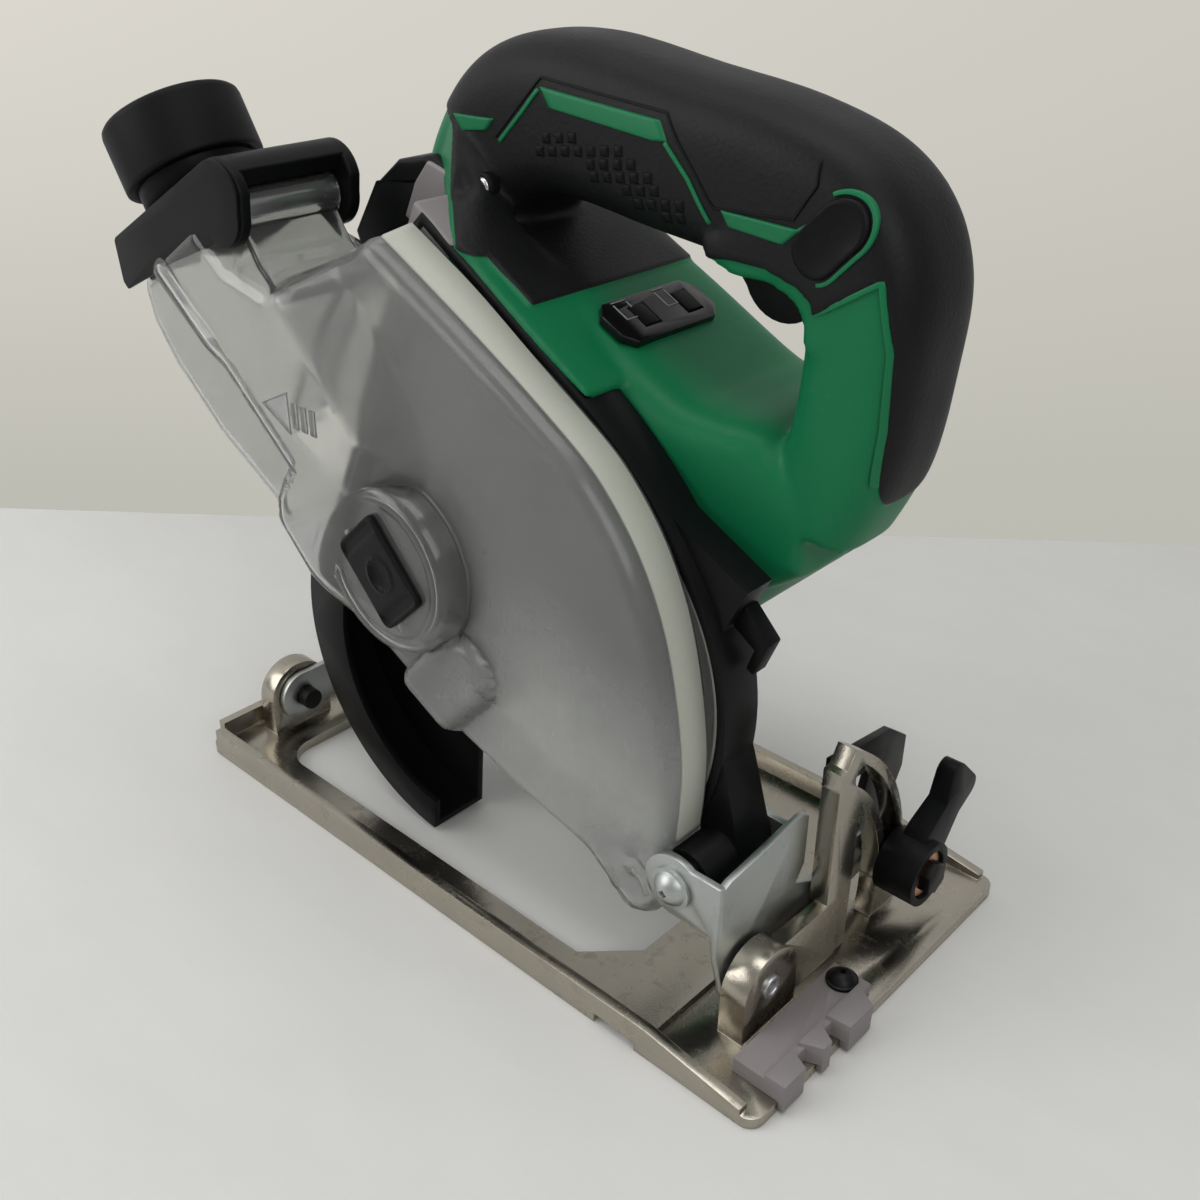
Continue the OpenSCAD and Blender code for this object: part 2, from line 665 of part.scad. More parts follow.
module gear_case() color(black) lifted() difference() {
  union() {
    difference() {
      union() {
        side(case_right, case_left) case_outline();
        side(case_right + 4, case_left) front_block_outline();
        pivot_arm();
      }
      side(case_right - 1, case_left - case_wall) offset(delta = -case_wall) case_outline();
      translate([-200, case_right - 1, -20]) cube([400, case_left - case_wall - case_right + 1,
        20 + hood_low + 4]);
    }
    side(case_left - 0.5, boss_top) gear_boss_outline();
    side(case_left - 0.5, gear_front + 8) spindle_boss_outline();
    bar_y(spindle_at, spindle_boss_r, guard_left - 5, case_left);
    lock_arm();
  }
  side(gear_back - 1, gear_front + 1) gear_cavity(0);
  bar_y(spindle_at, spindle_d / 2 + 1, guard_left - 10, gear_back);
  bar_y(spindle_at, bearing_r + seat, gear_back - 8, gear_back);
  bar_y(spindle_at, bearing_r + seat, gear_front, gear_front + 6);
  bar_y(motor_at, bearing_r + seat, gear_front, gear_front + 6);
  bar_y(motor_at, rotor_d / 2 + 1, gear_front, boss_top + 1);
  bar_y(motor_at, motor_r - motor_wall, boss_top - 4, boss_top + 1);
  bar_y(idler_at, idler_pin_d / 2 + seat, gear_back - 5, gear_front + 5);
  bar_y(pivot, pivot_d / 2 + run, -80, 20);
  bar_y(lock_at, lock_d / 2 + seat, -20, 40);
}

module pivot_arm() {
  arm_right = ear_in + 3.4;
  arm_left = ear_left_in - gap;
  bar_y(pivot, ear_r - 1.5, arm_right, arm_left);
  hull() {
    bar_y(pivot, ear_r - 1.5, case_right + 1, arm_left, $fn = 32);
    bar_y([hood_nose - 9, pivot_z + 22], 9, case_right + 1, case_left, $fn = 32);
  }
  hull() {
    bar_y([hood_nose - 9, pivot_z + 22], 9, case_right + 1, case_left, $fn = 32);
    bar_y([motor_x + 34, motor_z + 12], 10, case_right + 1, case_left, $fn = 32);
  }
}

module lock_arm() bar_y(lock_at, 8, case_left - 1, link_y - 0.5);

module chamber_liner() color(grey) lifted() difference() {
  t = 1.5;
  union() {
    difference() {
      side(case_right + 0.5, case_left - case_wall - seat) offset(delta = -case_wall - seat) case_outline();
      side(case_right, case_left - case_wall - seat - t) offset(delta = -case_wall - seat - t)
        case_outline();
    }
  }
  translate([-200, -80, -20]) cube([400, 80, 20 + hood_low + 5]);
  bar_y(spindle_at, guard_r + 1.5, -80, 20);
}

// Motor, gears, spindle and bearings

bearing_r = 9;
idler_pin_d = 6;
motor_end = 80;

module motor_housing() color(green) lifted() difference() {
  bar_y(motor_at, motor_r, boss_top + seat, motor_end);
  bar_y(motor_at, motor_r - motor_wall, boss_top - 1, motor_end + 1);
  for (a = [200 : 20 : 340]) translate([motor_x, 0, motor_z]) rotate([0, -a, 0])
    translate([motor_r - 8, motor_end - 16, -2]) cube([16, 10, 4]);
}

module motor_cap() color(black) lifted() difference() {
  translate([motor_x, motor_end + seat, motor_z]) rotate([-90, 0, 0])
    rotate_extrude() polygon(concat([[0, 0], [motor_r, 0]], arc([motor_r - 6, 8], 6, 0, 90, 8), [[0, 14]]));
  bar_y(motor_at, motor_r - motor_wall, motor_end - 1, motor_end + 3);
  bar_y(motor_at, bearing_r + seat, motor_end - 1, motor_end + 9);
}

module stator() color(steel) lifted() difference() {
  bar_y(motor_at, motor_r - motor_wall - seat, 28, 66);
  bar_y(motor_at, 14, 27, 67);
}

module rotor() color(steel) lifted() {
  bar_y(motor_at, rotor_d / 2, gear_back, motor_end + 8);
  bar_y(motor_at, 14 - gap, 30, 64);
  side(gear_back, gear_front) translate(motor_at) gear_outline(pinion_teeth, pinion_turn);
  bar_y(motor_at, 24, 18, 20);
  for (a = [0 : 40 : 320]) translate([motor_x, 0, motor_z]) rotate([0, -a, 0])
    translate([8, 19, -0.8]) cube([15, 6, 1.6]);
}

// Teeth stand opposite gaps where the gears meet
low_line = atan2(idler_at[1] - spindle_at[1], idler_at[0] - spindle_at[0]);
high_line = atan2(motor_at[1] - idler_at[1], motor_at[0] - idler_at[0]);
idler_turn = low_line + 180;
spindle_turn = low_line + 180 / spindle_teeth;
idler_step = 360 / idler_teeth;
high_share = (high_line - idler_turn) / idler_step - floor((high_line - idler_turn) / idler_step);
pinion_turn = high_line + 180 + (180 / pinion_teeth) * (1 + 2 * high_share);

module idler_gear() color(steel) lifted() side(gear_back, gear_front) difference() {
  translate(idler_at) gear_outline(idler_teeth, idler_turn);
  translate(idler_at) circle(idler_pin_d / 2 + run);
}

module idler_pin() color(steel) lifted() bar_y(idler_at, idler_pin_d / 2, gear_back - 4, gear_front + 4);

inner_flange_face = guard_left - 10;

module spindle() color(steel) lifted() {
  bar_y(spindle_at, spindle_d / 2, inner_flange_face - 1, gear_front + 6);
  bar_y(spindle_at, flange_d / 2, inner_flange_face, inner_flange_face + 4);
  side(gear_back, gear_front) translate(spindle_at) gear_outline(spindle_teeth, spindle_turn);
}

module outer_flange() color(steel) lifted() difference() {
  bar_y(spindle_at, flange_d / 2, inner_flange_face - 4, inner_flange_face - seat);
  bar_y(spindle_at, spindle_d / 2 + seat, inner_flange_face - 1 - seat, inner_flange_face + 1);
  bar_y(spindle_at, 4, inner_flange_face - 10, inner_flange_face);
}

module spindle_bolt() color(black) lifted() {
  bar_y(spindle_at, 4 - seat, inner_flange_face - 5, inner_flange_face - 1 - seat);
  translate([spindle_x, inner_flange_face - 4 - seat, spindle_z]) rotate([90, 0, 0]) cylinder(r = 7.5,
    h = 4, $fn = 6);
}

module bearing(c, bore, y0, y1) difference() {
  bar_y(c, bearing_r, y0, y1);
  bar_y(c, bore + run, y0 - 1, y1 + 1);
}

module bearings() color(steel) lifted() {
  bearing(spindle_at, spindle_d / 2, gear_back - 7.5, gear_back - 1.2);
  bearing(spindle_at, spindle_d / 2, gear_front + 1.2, gear_front + 6);
  bearing(motor_at, rotor_d / 2, gear_front + 1.2, gear_front + 6);
  bearing(motor_at, rotor_d / 2, motor_end + 1, motor_end + 8.5);
}

// Lower guard, swinging on the spindle boss

module lower_guard() color(black) lifted()
  translate([spindle_x, 0, spindle_z]) rotate([90, 0, 0]) difference() {
  union() {
    rotate_extrude(angle = guard_span, start = guard_end - guard_span, $fn = 120) difference() {
      translate([spindle_boss_r + 5, -guard_left])
        square([guard_r - spindle_boss_r - 5, guard_left - guard_right]);
      translate([0, -guard_left + guard_wall])
        square([guard_r - guard_wall, guard_left - guard_right - 2 * guard_wall]);
    }
    rotate_extrude() translate([spindle_boss_r + run, -guard_left]) square([5.2, 4.5]);
  }
  rotate(guard_end + 28) translate([rim_shift, 0, -guard_right - 2 * guard_wall])
    cylinder(r = guard_r - guard_rim, h = 4 * guard_wall);
}

// Clear dust cover with its band, latch and hinged nozzle

module panel_outline() polygon(concat([[hood_nose, hood_low + 12]], hood_line,
  [[hood_rear - 5, hood_rear_z - 12], [hood_rear - 24, hood_low + 94], [hood_rear - 24, hood_low + 70],
    [hood_rear, hood_low + 22],
    [spindle_x - 30, hood_low - 1], [spindle_x + 38, hood_low], [hood_nose - 13, hood_low + 7]]));

module duct_outline() polygon([[spindle_x - 30, hood_low + 20], [spindle_x - 38, hood_low + 60],
  [hood_rear + 16, hood_low + 73], [hood_rear - 24, hood_low + 93], hinge_at + [8, -13.5],
    duct_top + 14 * lean_down, duct_end,
  duct_end + [6, -12], [hood_rear - 60, hood_low + 31], [hood_rear + 3, hood_low + 21]]);

// The duct reaches behind the blade case only outside the arc that the case's corner needs
module duct_rear_outline() intersection() {
  duct_outline();
  polygon(concat(arc(pivot, norm([hood_rear - 3, hood_rear_z] - pivot) + 2, 150, 195, 9), [[-400, 0],
    [-400, 200]]));
}

latch_at = [-44, 57];
latch_turn = -20;

module cover_ring_outline() {
  translate(pivot) circle(pivot_d / 2 + 3.4);
  polygon([[hood_nose - 12, hood_low + 8], [hood_nose - 2, hood_low + 40], pivot + [0, 6], pivot + [-2,
    -7]]);
}

module dust_cover() color(clear) lifted() difference() {
  cover_left = case_right - gap;
  inner_right = cover_right + cover_wall;
  boss_outer = duct_right + 2;
  union() {
    difference() {
      union() {
        side(cover_right, cover_left) panel_outline();
        side(duct_right, cover_left) duct_outline();
        side(duct_right, duct_left) duct_rear_outline();
        bar_y(latch_at, boss_r, boss_outer, cover_left);
      }
      side(inner_right, cover_left + 1) offset(delta = -cover_wall) panel_outline();
      side(duct_right + cover_wall, cover_left + 1) offset(delta = -cover_wall) duct_outline();
      side(cover_left - 3, duct_left - cover_wall) offset(delta = -cover_wall - 0.3) duct_rear_outline();
      bar_y(spindle_at, guard_r + 1.5, guard_right - 1, cover_left + 1);
      bar_y(latch_at, boss_r - cover_wall, boss_outer + cover_wall, cover_left + 1);
      translate([hood_rear + 4, inner_right, -40]) cube([hood_nose - hood_rear - 6, 60,
        40 + hood_low + 14]);
      end_opening();
    }
    side(cover_right, inner_right + 0.4) cover_ring_outline();
    side(duct_right + 9, duct_left - 9) knuckle_outline();
    latch_ears();
  }
  bar_y(pivot, pivot_d / 2 + run, -80, 20);
  bar_y(hinge_at, hinge_d / 2 + run, -90, 20);
  flap_room();
  latch_room();
}

// Mouth of the duct, which the nozzle flap closes
module end_opening() translate([duct_top[0], nozzle_y, duct_top[1]]) rotate([0, nozzle_lean - 90, 0])
  translate([-flap_l + 4, duct_right - nozzle_y + 2 * cover_wall, -12])
    cube([flap_l - 18, duct_left - duct_right - 4 * cover_wall, 24]);

// Room for the flap's barrel and plate, with a knuckle of the cover left inside it
module flap_room() difference() {
  union() {
    bar_y(hinge_at, hinge_r + gap, duct_right - 1, duct_left + 1);
    side(duct_right - 1.5, duct_left + 1.5) wedge(hinge_at, norm(barrel_at - hinge_at) + barrel_r + gap,
      5, 235);
    flap_frame() translate([-flap_l - 20, -40, 0]) cube([flap_l + 60, 80, 40]);
  }
  side(duct_right + 9, duct_left - 9) knuckle_outline();
}

module knuckle_outline() {
  translate(hinge_at) circle(knuckle_r);
  polygon([hinge_at, hinge_at + 17 * [cos(256), sin(256)], [hood_rear - 24, hood_low + 91],
    hinge_at + knuckle_r * [cos(5), sin(5)]]);
}

module latch_place() translate([latch_at[0], duct_right + 2, latch_at[1]]) rotate([0, -latch_turn, 0])
  children();

latch_swing = 2;

module latch_room() latch_place() {
  translate([-latch_l / 2 - gap, -3, -latch_w / 2 - latch_swing])
    cube([latch_l + 2 * gap, 10, latch_w + latch_swing + gap]);
  translate(latch_pin_at) rotate([0, 90, 0]) translate([0, 0, -latch_l / 2 - 2.5 - seat])
    cylinder(r = 1 + seat, h = latch_l + 5 + 2 * seat);
}

latch_pin_at = [0, 2.2, -latch_w / 2 + 3];

module latch_ears() latch_place() for (x = [-latch_l / 2 - 3, latch_l / 2 + 0.5])
  translate([x, 0, -latch_w / 2]) cube([2.5, 6, 7]);

module cover_latch() color(black) lifted() latch_place() difference() {
  union() {
    translate([-latch_l / 2, -1.5, -latch_w / 2]) cube([latch_l, 6, latch_w]);
    translate([-latch_l / 2 + 2, -3, -latch_w / 2 + 6]) cube([latch_l - 4, 3, latch_w - 8]);
  }
  translate([0, -3.6, 3]) sphere(r = 4);
  translate(latch_pin_at) rotate([0, 90, 0]) translate([0, 0, -50]) cylinder(r = 1 + run, h = 100);
}

module latch_pin() color(steel) lifted() latch_place() translate(latch_pin_at) rotate([0, 90, 0])
  translate([0, 0, -latch_l / 2 - 2.5]) cylinder(r = 1, h = latch_l + 5);

module cover_band() color(grey) lifted() side(cover_right + 4, cover_right + 4 + band_w) difference() {
  polygon(concat(arc(hood_c, hood_r + seat + band_t, 2, hood_turn, 18),
    arc(hood_top_c, hood_top_r + seat + band_t, hood_turn + 2, hood_end_turn, 12),
    [[hood_rear + 4, hood_rear_z - 4 * hood_slope + band_t + seat], [hood_rear + 4, hood_rear_z - 30],
      [hood_nose - 30, pivot_z + 7]]));
  polygon(concat([[hood_nose, -10]], arc(hood_c, hood_r + seat, 0, hood_turn, 18),
    arc(hood_top_c, hood_top_r + seat, hood_turn + 2, hood_end_turn, 12),
    [[hood_rear - 20, hood_rear_z + 20 * hood_slope + seat + 2], [hood_rear - 20, -10]]));
}

// Nozzle flap with its tube and ears, turning on the hinge pin

module flap_frame() translate([duct_top[0], nozzle_y, duct_top[1]]) rotate([0, nozzle_lean - 90, 0])
  children();

module nozzle_flap() color(black) lifted() difference() {
  half = (duct_left - duct_right) / 2;
  union() {
    flap_frame() translate([-flap_l, -half, gap]) cube([flap_l - 2, 2 * half, flap_t - gap]);
    bar_y(hinge_at, hinge_r, duct_right, duct_left);
    bar_y(barrel_at, barrel_r, duct_right, duct_left);
    on_nozzle() translate([0, 0, -2]) cylinder(r = tube_r, h = tube_l + 2);
  }
  on_nozzle() translate([0, 0, -30]) cylinder(r = tube_r - tube_wall, h = tube_l + 60);
  bar_y(hinge_at, hinge_d / 2 + run, -90, 20);
  side(duct_right + 8.6, duct_left - 8.6) union() {
    translate(hinge_at) circle(knuckle_r + gap);
    wedge(hinge_at, 3 * hinge_r, 232, 440);
  }
}

module nozzle_cuff() color(black) lifted() on_nozzle() translate([0, 0, tube_l - cuff_l + 5])
  rotate_extrude($fn = 72)
  polygon(concat([[tube_r + seat, 0], [cuff_r - 1, 0], [cuff_r, 1]],
    arc([cuff_r - 2, cuff_l - 2], 2, 0, 90, 5),
    [[tube_r - tube_wall, cuff_l], [tube_r - tube_wall, cuff_l - 5 + seat],
      [tube_r + seat, cuff_l - 5 + seat]]));

module nozzle_pin() color(steel) lifted() bar_y(hinge_at, hinge_d / 2, duct_right - 0.6, duct_left + 0.6);

// Handle, grip and housing halves

// Each station is a place on the line, then the half depth across it
handle_line = [for (s = [[-100, 126, 25], [-105, 148, 22], [-99, 168, 22.5], [-81, 182, 21.5], [-48, 194, 21],
  [-17, 205, 20.5], [6, 209, 19.5], [21, 202, 17.5], [31, 183, 16.5], [39, 160, 16.5], [41, 138, 16]])
  concat(s, [bar_half_y, handle_y])];

// Here each station also has what it is narrower than the deck on each side
body_mid = (body_right + body_left) / 2;
body_half = (body_left - body_right) / 2;
body_line = [for (s = [[-112, 116, 16, 5], [-92, 118, 26, 0], [-50, 120, 26, 0], [-6, 120, 25, 0],
  [30, 124, 24, 3], [46, 134, 13, 9]])
  [s[0], s[1], s[2], body_half - s[3], body_mid - s[3] / 2]];
trigger_at = [-4, 174];
lock_off_at = [8, 214];
trigger_clear = 0.5;

module handle_solid(grow = 0) loft(handle_line, grow);

module saddle_outline() difference() {
  polygon([[hood_rear - 2, hood_rear_z + 2 * hood_slope + saddle_t], hood_top_end + [0, saddle_t],
    hood_top_end + [4, saddle_t - 1.2], hood_top_end + [5, -20], [hood_rear - 2, hood_rear_z - 20]]);
  offset(delta = seat) case_outline();
}

module housing() difference() {
  union() {
    handle_solid();
    loft(body_line, e = 5);
    side(case_right + 0.5, body_right + 3) saddle_outline();
  }
  side(case_left - 30, case_left + seat) case_outline();
  side(case_right, case_left + seat) front_block_outline(seat);
  side(case_left - 1, boss_top + seat) gear_boss_outline(seat);
  bar_y(motor_at, motor_r + seat, boss_top - 1, 100);
  side(link_y - 0.5, link_y + sheet_t + 0.5) ring_part(pivot, lock_reach - link_w / 2 - 1,
    lock_reach + link_w / 2 + 1, lock_turn - lift - 5, lock_turn + 40);
  battery_block(seat);
  trigger_pocket();
  lock_off_pocket();
  panel_place() panel_solid(seat);
  for (p = screw_places) bar_y(p, 3, handle_y - bar_half_y - 5, handle_y - bar_half_y + 6);
}

module housing_right() color(green) lifted() intersection() {
  housing();
  translate([-200, handle_y - 100, 0]) cube([400, 100, 300]);
}

module housing_left() color(green) lifted() difference() {
  housing();
  translate([-200, handle_y - 100, 0]) cube([400, 100 + seat, 300]);
}

module handle_grip() color(black) lifted() difference() {
  handle_solid(grip_t);
  handle_solid(seat);
  loft(body_line, seat, e = 5);
  translate([-200, -100, 0]) cube([400, 200, 146]);
  trigger_pocket();
  lock_off_pocket();
  for (p = screw_places) bar_y(p, 3.4, handle_y - bar_half_y - 5, handle_y - bar_half_y + 6);
  side(handle_y - 60, handle_y + 60) polygon([[-70, 158], [-30, 172], [12, 189], [24, 202], [35, 180],
    [43, 144], [43, 120], [0, 120]]);
}

module trigger_pocket() side(handle_y - trigger_w / 2 - trigger_clear,
  handle_y + trigger_w / 2 + trigger_clear)
  polygon([trigger_at + [-17, 6], trigger_at + [-17, trigger_travel + 20],
    trigger_at + [17, trigger_travel + 28], trigger_at + [17, 8]]);

module trigger() color(black) lifted() side(handle_y - trigger_w / 2, handle_y + trigger_w / 2)
  polygon(concat([trigger_at + [-16, 18], trigger_at + [16, 25], trigger_at + [16, 10]],
    arc(trigger_at + [2, 14], 13, -20, -130, 10), [trigger_at + [-16, 8]]));

module lock_off_outline(grow = 0) {
  translate(lock_off_at + [-1.5, -6]) circle(7 + grow);
  translate(lock_off_at + [1.5, 6]) circle(7 + grow);
  translate(lock_off_at - [7 + grow, 6]) square([14 + 2 * grow, 12]);
}

module lock_off_pocket() side(handle_y - bar_half_y - 5, handle_y - bar_half_y + 7.5 + lock_off_travel)
  lock_off_outline(gap);

module lock_off_button() color(black) lifted() side(handle_y - bar_half_y - 2.6,
  handle_y - bar_half_y + 7) lock_off_outline();

// Control panel on the shoulder in front of the hand
panel_at = [-35, 13, 146.5];

module panel_place() translate(panel_at) rotate([0, 0, 90]) children();

module panel_solid(grow = 0) linear_extrude(3 + grow, center = true) offset(delta = grow)
  polygon([[-panel_l / 2 + 4, -panel_w / 2], [panel_l / 2 - 4, -panel_w / 2],
    [panel_l / 2, -panel_w / 4], [panel_l / 2, panel_w / 4], [panel_l / 2 - 4, panel_w / 2],
    [-panel_l / 2 + 4, panel_w / 2], [-panel_l / 2, panel_w / 4], [-panel_l / 2, -panel_w / 4]]);

key_size = [6, 8];
key_travel = 0.5;
mode_key_at = [panel_l / 2 - 9, 0];
lamp_key_at = [-panel_l / 6, 0];

module key_at(p, grow, z0, z1) translate([p[0] - key_size[0] / 2 - grow, p[1] - key_size[1] / 2 - grow, z0])
  cube([key_size[0] + 2 * grow, key_size[1] + 2 * grow, z1 - z0]);

module control_panel() color(black) lifted() panel_place() difference() {
  panel_solid();
  key_at(mode_key_at, 0.3, 0, 5);
  key_at(lamp_key_at, 0.3, 0, 5);
}

module mode_key() color(grey) lifted() panel_place() key_at(mode_key_at, 0, key_travel + 0.3, 2);

module lamp_key() color(grey) lifted() panel_place() key_at(lamp_key_at, 0, key_travel + 0.3, 2);

module wrench_clip() color(black) lifted() side(case_right + 8, case_left - 1)
  translate(motor_at) polygon([[46 + seat, 36], [58, 32], [59, 20], [56, 20], [55, 27], [46 + seat, 28]]);

screw_places = [[-95, 150], [-60, 108]];

module housing_screws() color(steel) lifted() for (p = screw_places)
  bar_y(p, 2.8, handle_y - bar_half_y - 1, handle_y - bar_half_y + 5.8);

// Battery mount at the rear, with its slide rails and contact blades

module battery_outline(grow = 0) offset(delta = grow) polygon([[-107, 138], [-119, 138], [-135, 126],
  [-138, 103],
  [-128, 95], [-107, 98]]);

module battery_block(grow = 0) side(handle_y - battery_w / 2 - grow, handle_y + battery_w / 2 + grow)
  battery_outline(grow);

module terminal_outline(grow = 0) offset(delta = grow) polygon([[-134, 108.3], [-130, 104.8], [-133, 101.5],
  [-130, 99], [-123, 98.5], [-120, 98.4]]);

terminal_t = 1;
terminal_pitch = 9;

module battery_terminal_places(grow = 0) for (i = [-1 : 1]) let (y = handle_y + i * terminal_pitch)
  side(y - terminal_t / 2 - grow, y + terminal_t / 2 + grow) terminal_outline(grow);

module battery_mount() color(black) lifted() difference() {
  battery_block();
  for (y = [handle_y - battery_w / 2 - 1, handle_y + battery_w / 2 - 5]) side(y, y + 6)
    polygon([[-125, 82], [-143, 100], [-139, 106], [-121, 90]]);
  side(handle_y - 16, handle_y + 16) polygon([[-123, 82], [-145, 102], [-136, 110], [-115, 94]]);
  battery_terminal_places(seat);
}

module battery_terminals() color(steel) lifted() battery_terminal_places();

// Depth lock on the motor side, clamping the link

module depth_lock_bolt() color(steel) lifted() {
  bar_y(lock_at, lock_d / 2, 0, link_y + sheet_t + 13);
  bar_y(lock_at, lock_d * 0.9, link_y + sheet_t + 11.5, link_y + sheet_t + 15);
}

module depth_lock_lever() color(black) lifted() difference() {
  y0 = link_y + sheet_t + gap;
  union() {
    bar_y(lock_at, 10, y0, y0 + 10);
    hull() {
      bar_y(lock_at + [-4, 6], 6, y0 + 2, y0 + 9, $fn = 32);
      bar_y(lock_at + [-18, 30], 4, y0 + 3, y0 + 8, $fn = 32);
    }
  }
  bar_y(lock_at, lock_d / 2 + run, y0 - 1, y0 + 20);
}

base_plate();
front_bevel_pin();
rear_bevel_pin();
sight_guide();
sight_guide_screw();
front_bracket();
clamp_bolt();
clamp_washer();
bevel_lever();
index_tab();
depth_link();
depth_pivot_pin();
gear_case();
chamber_liner();
housing_right();
housing_left();
handle_grip();
motor_housing();
motor_cap();
stator();
rotor();
idler_gear();
idler_pin();
spindle();
outer_flange();
spindle_bolt();
bearings();
lower_guard();
dust_cover();
cover_band();
cover_latch();
latch_pin();
nozzle_flap();
nozzle_cuff();
nozzle_pin();
trigger();
lock_off_button();
control_panel();
mode_key();
lamp_key();
wrench_clip();
housing_screws();
battery_mount();
battery_terminals();
depth_lock_bolt();
depth_lock_lever();
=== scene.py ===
"""Dresses a cordless dust-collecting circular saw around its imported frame."""
import json

import bpy
import numpy as np
from mathutils import Matrix


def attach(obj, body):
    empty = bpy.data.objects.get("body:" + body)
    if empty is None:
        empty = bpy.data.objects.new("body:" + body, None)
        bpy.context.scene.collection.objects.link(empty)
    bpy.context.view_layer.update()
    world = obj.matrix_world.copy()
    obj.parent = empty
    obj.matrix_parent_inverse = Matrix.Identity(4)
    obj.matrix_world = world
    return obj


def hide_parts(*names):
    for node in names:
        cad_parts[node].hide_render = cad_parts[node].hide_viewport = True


bl_info = {
    "name": "Dust-collecting saw",
    "version": (1, 0, 0),
    "blender": (4, 5, 0),
    "location": "3D View > Sidebar > Saw",
    "description": "Shells, trims and finishes of a cordless dust-collecting saw",
    "category": "Add Mesh",
}

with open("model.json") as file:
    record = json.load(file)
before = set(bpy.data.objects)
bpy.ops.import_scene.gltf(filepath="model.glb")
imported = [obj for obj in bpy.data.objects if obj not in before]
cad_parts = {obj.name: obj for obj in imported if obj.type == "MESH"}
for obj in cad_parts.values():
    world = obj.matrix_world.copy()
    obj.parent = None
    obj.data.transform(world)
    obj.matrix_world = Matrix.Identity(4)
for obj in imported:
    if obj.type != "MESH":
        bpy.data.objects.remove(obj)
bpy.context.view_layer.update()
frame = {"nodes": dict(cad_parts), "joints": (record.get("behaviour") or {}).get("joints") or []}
MM = 0.001
DEPTH = next(j for j in frame["joints"] if j["name"] == "depth")
PIVOT = np.array([DEPTH["pos_m"][0], DEPTH["pos_m"][2]]) / MM
LIFT = np.radians(DEPTH["range_deg"][1])
SPINDLE = next(j for j in frame["joints"] if j["name"] == "spindle_turn")["pos_m"]


# Shapes. Lengths are millimetres until a mesh is made.

def lifted(x, y, z):
    """Level head coordinates to the frame: a turn by the lift about the depth pivot."""
    u, w = x - PIVOT[0], z - PIVOT[1]
    return np.stack([PIVOT[0] + u * np.cos(LIFT) + w * np.sin(LIFT), y + 0 * u,
                     PIVOT[1] - u * np.sin(LIFT) + w * np.cos(LIFT)], -1)


def levelled(p):
    """The way back: frame points to level head coordinates, x, y and z."""
    u, w = p[..., 0] - PIVOT[0], p[..., 2] - PIVOT[1]
    return (PIVOT[0] + u * np.cos(LIFT) - w * np.sin(LIFT), p[..., 1],
            PIVOT[1] + u * np.sin(LIFT) + w * np.cos(LIFT))


def grid_faces(rows, cols, close_rows=False, close_cols=False):
    """Quads between neighbouring points of a grid, wrapped round where a side closes."""
    i = np.arange(rows if close_rows else rows - 1)[:, None]
    j = np.arange(cols if close_cols else cols - 1)[None, :]
    a, b = i * cols + j, i * cols + (j + 1) % cols
    c, d = (i + 1) % rows * cols + (j + 1) % cols, (i + 1) % rows * cols + j
    return np.stack([a, b, c, d], -1).reshape(-1, 4)


def capped(ring):
    """Rings of points closed by a pole at each end, with their quads."""
    pole = lambda end: 0 * end + end.mean(1, keepdims=True)
    ring = np.concatenate([pole(ring[:1]), ring, pole(ring[-1:])])
    return ring, grid_faces(*ring.shape[:2], close_cols=True)


def joined(*parts):
    """One set of points and quads from several, each part a pair of points and quads."""
    shift = np.cumsum([0] + [len(p.reshape(-1, 3)) for p, _ in parts])
    return (np.vstack([p.reshape(-1, 3) for p, _ in parts]),
            np.vstack([q + s for (_, q), s in zip(parts, shift)]))


def smooth_line(stations, per=12):
    """A Catmull-Rom curve through the rows, so every column runs smoothly from station to station."""
    s = np.asarray(stations, float)
    ends = np.vstack([s[:1], s, s[-1:]])
    t = np.linspace(0, 1, per, endpoint=False)[None, :, None]
    a, b, c, d = (ends[i:len(s) - 1 + i][:, None, :] for i in range(4))
    out = (2 * b + (c - a) * t + (2 * a - 5 * b + 4 * c - d) * t ** 2 + (3 * b - a - 3 * c + d) * t ** 3) / 2
    return np.vstack([out.reshape(-1, s.shape[1]), s[-1:]])


def tangents(line):
    """Unit tangents at a line's points."""
    way = np.gradient(line, axis=0)
    return way / np.linalg.norm(way, axis=1, keepdims=True)


def tube(stations, power, around=120):
    """A closed loft: at each station a superellipse, half depth across the line and half width along Y,
    |u/depth|^power + |v/width|^power = 1, with a pole at each end."""
    row = smooth_line(stations)
    way = tangents(row[:, :2])
    a = np.linspace(0, 2 * np.pi, around, endpoint=False)
    bulged = lambda v: np.sign(v) * np.abs(v) ** (2 / power)
    u = row[:, 2, None] * bulged(np.cos(a))
    v = row[:, 3, None] * bulged(np.sin(a))
    return capped(lifted(row[:, 0, None] - way[:, 1, None] * u, row[:, 4, None] + v,
                         row[:, 1, None] + way[:, 0, None] * u))


def polygon_depth(x, z, outline):
    """Distance from each point to the outline's nearest edge, positive inside, by edge projection and
    the crossing count."""
    p = np.asarray(outline, float)
    q = np.roll(p, -1, 0)
    x, z = np.asarray(x, float)[..., None], np.asarray(z, float)[..., None]
    e = q - p
    t = np.clip(((x - p[:, 0]) * e[:, 0] + (z - p[:, 1]) * e[:, 1]) / (e ** 2).sum(1), 0, 1)
    far = np.hypot(x - p[:, 0] - t * e[:, 0], z - p[:, 1] - t * e[:, 1]).min(-1)
    rise = np.where(e[:, 1] == 0, 1e-9, e[:, 1])
    cross = ((p[:, 1] > z) != (q[:, 1] > z)) & (x < p[:, 0] + (z - p[:, 1]) * e[:, 0] / rise)
    return np.where(cross.sum(-1) % 2 == 1, far, -far)


def eased(v, low, high):
    """Smoothstep from low to high."""
    t = np.clip((v - low) / (high - low), 0, 1)
    return t * t * (3 - 2 * t)


